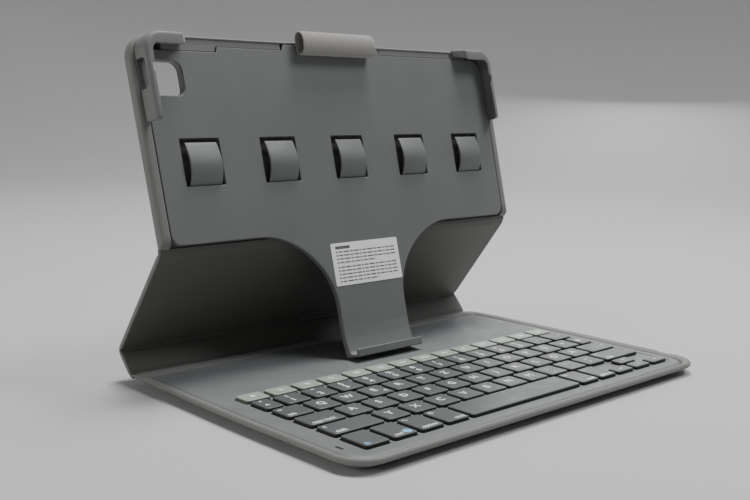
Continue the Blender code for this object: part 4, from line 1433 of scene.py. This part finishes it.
def build_loop():
    """The elastic pencil loop: a ribbed band sewn to a flattened tube along the tray's top edge."""
    left, right = -27.0, 26.2
    centre_w, centre_v = 4.3, 176.2
    half_w, half_v, wall = 4.0, 6.35, 0.9
    ribs = round((right - left) / LOOP_RIB)
    per_rib = 6
    around = 56

    def ring(u, inset, swell):
        """The tube's outline: round in front, flatter at its back, where it lies on the tray."""
        points = []
        for n in range(around):
            turn = math.tau * n / around
            c, s = math.cos(turn), math.sin(turn)
            square = 0.62 if s < 0 else 0.92
            a, b = half_v - inset + swell, half_w - inset + swell
            v = centre_v + a * math.copysign(abs(c) ** (0.78 if s < 0 else 0.95), c)
            w = centre_w + b * math.copysign(abs(s) ** square, s)
            points.append((u, v, w))
        return points

    rings = []
    count = ribs * per_rib
    for n in range(count + 1):
        u = left + (right - left) * n / count
        cord = 0.11 * abs(math.sin(math.pi * n / per_rib)) ** 0.7 - 0.1
        end = 0.25 * (math.exp(-n / 3) + math.exp(-(count - n) / 3))
        rings.append(ring(u, end, cord))
    for u in (right, left):
        rings.append(ring(u + (0.0 if u < 0 else 0.0), wall - 0.25, 0.0))
        if u == right:
            for share in (0.02, 0.25, 0.5, 0.75, 0.98):
                rings.append(ring(right + (left - right) * share, wall, 0.0))
    loop = make("pencil_loop_band", [loft(rings, joined=True)], TRAY, LOOP_LOOK, smooth=60)
    finish_piece(loop, "tablet_holder", "loop_elastic", "pencil_loop")


def build_label():
    """A blank information label: a satin sheet with rows of plain bars in place of print."""
    low_u, high_u, low_v, high_v = -25.2, 26.0, 41.4, 65.4
    sheet_outline = rounded(low_u, high_u, low_v, high_v, [0.8] * 4, 4)
    label = make("label_sheet", [slab(sheet_outline, 0.02, 0.22, 0.05)], TRAY, LABEL_LOOK)
    finish_piece(label, "tablet_holder", "label_film", "information_label")
    bars = []
    rows = 9
    for row in range(rows):
        v = high_v - 5.4 - row * 2.0 - (0.7 if row > 3 else 0.0)
        u = low_u + 3.0
        stop = high_u - (3.0 if row not in (3, 8) else 19.0)
        word = 0
        while u < stop:
            length = 1.5 + 1.1 * ((word * 7 + row * 5) % 5) / 1.6
            right = min(u + length, stop)
            bars.append(prism([(u, v), (right, v), (right, v + 0.75), (u, v + 0.75)], 0.2, 0.235))
            u = right + 0.7
            word += 1
    heading = [(low_u + 3, high_v - 3.4), (low_u + 14, high_v - 3.4), (low_u + 14, high_v - 1.7), (low_u + 3, high_v - 1.7)]
    bars.append(prism(heading, 0.2, 0.235))
    print_bars = make("label_print_bars", bars, TRAY, PRINT_INK)
    finish_piece(print_bars, "tablet_holder", "label_film")


# ---------------------------------------------------------------- stage, light and camera

def studio_look():
    look = Look("studio_floor", 0.75, specular=0.2)
    tree, where = look.tree, look.where
    cloud = noise(tree, where, 400.0, 2.0)
    look.set("Base Color", mix_colours(tree, cloud, (0.50, 0.50, 0.505, 1), (0.53, 0.53, 0.53, 1)))
    look.bump(noise(tree, where, 1.5, 2.0), 0.02, 0.2)
    return look.material


def build_stage():
    """A round studio floor whose edge rises into a backdrop on every side."""
    profile = [(0.0, 0.0), (1.2, 0.0)]
    profile += [(1.2 + 1.0 * math.sin(a), 1.0 - 1.0 * math.cos(a)) for a in (0.2 * n for n in range(1, 8))]
    profile += [(2.22, 2.6)]
    steps = 96
    verts = [(0.0, 0.0, -0.0004)]
    faces = []
    for radius, height in profile[1:]:
        for n in range(steps):
            turn = math.tau * n / steps
            verts.append((radius * math.cos(turn), radius * math.sin(turn), height - 0.0004))
    for n in range(steps):
        m = (n + 1) % steps
        faces.append([0, 1 + n, 1 + m])
        for row in range(len(profile) - 2):
            a = 1 + row * steps
            faces.append([a + n, a + steps + n, a + steps + m, a + m])
    mesh = bpy.data.meshes.new("studio_floor")
    mesh.from_pydata(verts, [], faces)
    mesh.materials.append(studio_look())
    floor = bpy.data.objects.new("studio_floor", mesh)
    bpy.context.scene.collection.objects.link(floor)
    shade(floor, 60)


def area_light(name, place, target, size, power, colour=(1, 1, 1)):
    light = bpy.data.lights.new(name, "AREA")
    light.shape = "DISK"
    light.size = size
    light.energy = power
    light.color = colour
    obj = bpy.data.objects.new(name, light)
    bpy.context.scene.collection.objects.link(obj)
    obj.location = place
    direction = Vector(target) - Vector(place)
    obj.rotation_euler = direction.to_track_quat("-Z", "Y").to_euler()


def build_lights():
    area_light("key_light", (0.34, 0.21, 1.35), (0.0, 0.02, 0.0), 0.62, 22.0, (1.0, 0.99, 0.975))
    area_light("front_light", (0.6, -0.5, 1.2), (0.0, 0.05, 0.1), 0.55, 9.0, (0.96, 0.98, 1.0))
    area_light("rear_light", (1.35, 0.78, 0.52), (0.06, -0.02, 0.0), 0.75, 3.4, (0.97, 0.985, 1.0))
    area_light("left_light", (-1.25, 0.3, 0.45), (0.0, 0.0, 0.05), 0.6, 4.5, (1.0, 0.985, 0.96))
    world = bpy.data.worlds.new("studio_air")
    bpy.context.scene.world = world
    world.use_nodes = True
    background = world.node_tree.nodes["Background"]
    background.inputs["Color"].default_value = (0.88, 0.92, 0.96, 1)
    background.inputs["Strength"].default_value = 0.09


CAMERA_PLACE = (-0.41055, -0.39707, 0.15924)
CAMERA_YAW, CAMERA_PITCH, CAMERA_ROLL = 0.7973, 0.2549, 0.0299
CAMERA_LENS = 50.91
LENS_SHIFT = {"shift_x": -0.0599, "shift_y": 0.1446}


def build_camera():
    """The camera stands low at the left front corner. Its lens shift holds only at that place, so
    that the object stays centred from anywhere else."""
    camera = bpy.data.cameras.new("camera")
    camera.lens = CAMERA_LENS
    camera.clip_start = 0.01
    camera.clip_end = 20.0
    obj = bpy.data.objects.new("camera", camera)
    bpy.context.scene.collection.objects.link(obj)
    level = math.cos(CAMERA_PITCH)
    forward = Vector((math.sin(CAMERA_YAW) * level, math.cos(CAMERA_YAW) * level, -math.sin(CAMERA_PITCH)))
    right = Vector((math.cos(CAMERA_YAW), -math.sin(CAMERA_YAW), 0))
    up = right.cross(forward)
    turned_right = right * math.cos(CAMERA_ROLL) + up * math.sin(CAMERA_ROLL)
    turned_up = up * math.cos(CAMERA_ROLL) - right * math.sin(CAMERA_ROLL)
    turn = Matrix((turned_right, turned_up, -forward)).transposed()
    obj.matrix_world = Matrix.Translation(CAMERA_PLACE) @ turn.to_4x4()
    for channel, value in LENS_SHIFT.items():
        curve = camera.driver_add(channel)
        curve.driver.type = "SCRIPTED"
        variable = curve.driver.variables.new()
        variable.name = "x"
        variable.type = "TRANSFORMS"
        variable.targets[0].id = obj
        variable.targets[0].transform_type = "LOC_X"
        variable.targets[0].transform_space = "WORLD_SPACE"
        curve.driver.expression = f"{value} if abs(x - {CAMERA_PLACE[0]}) < 0.0001 else 0"
    bpy.context.scene.camera = obj


# ---------------------------------------------------------------- everything

def build_object():
    caps = {node: cap_boxes(node) for node in key_nodes()}
    dress_hidden_nodes()
    build_base_skin()
    build_deck([rect for boxes in caps.values() for rect in boxes])
    build_keys(caps)
    build_folds()
    build_cover()
    build_tray()
    build_foot()
    build_leaves()
    build_bumper("left_corner_bumper", -1)
    build_bumper("right_corner_bumper", 1)
    build_loop()
    build_label()


build_object()
build_stage()
build_lights()
build_camera()
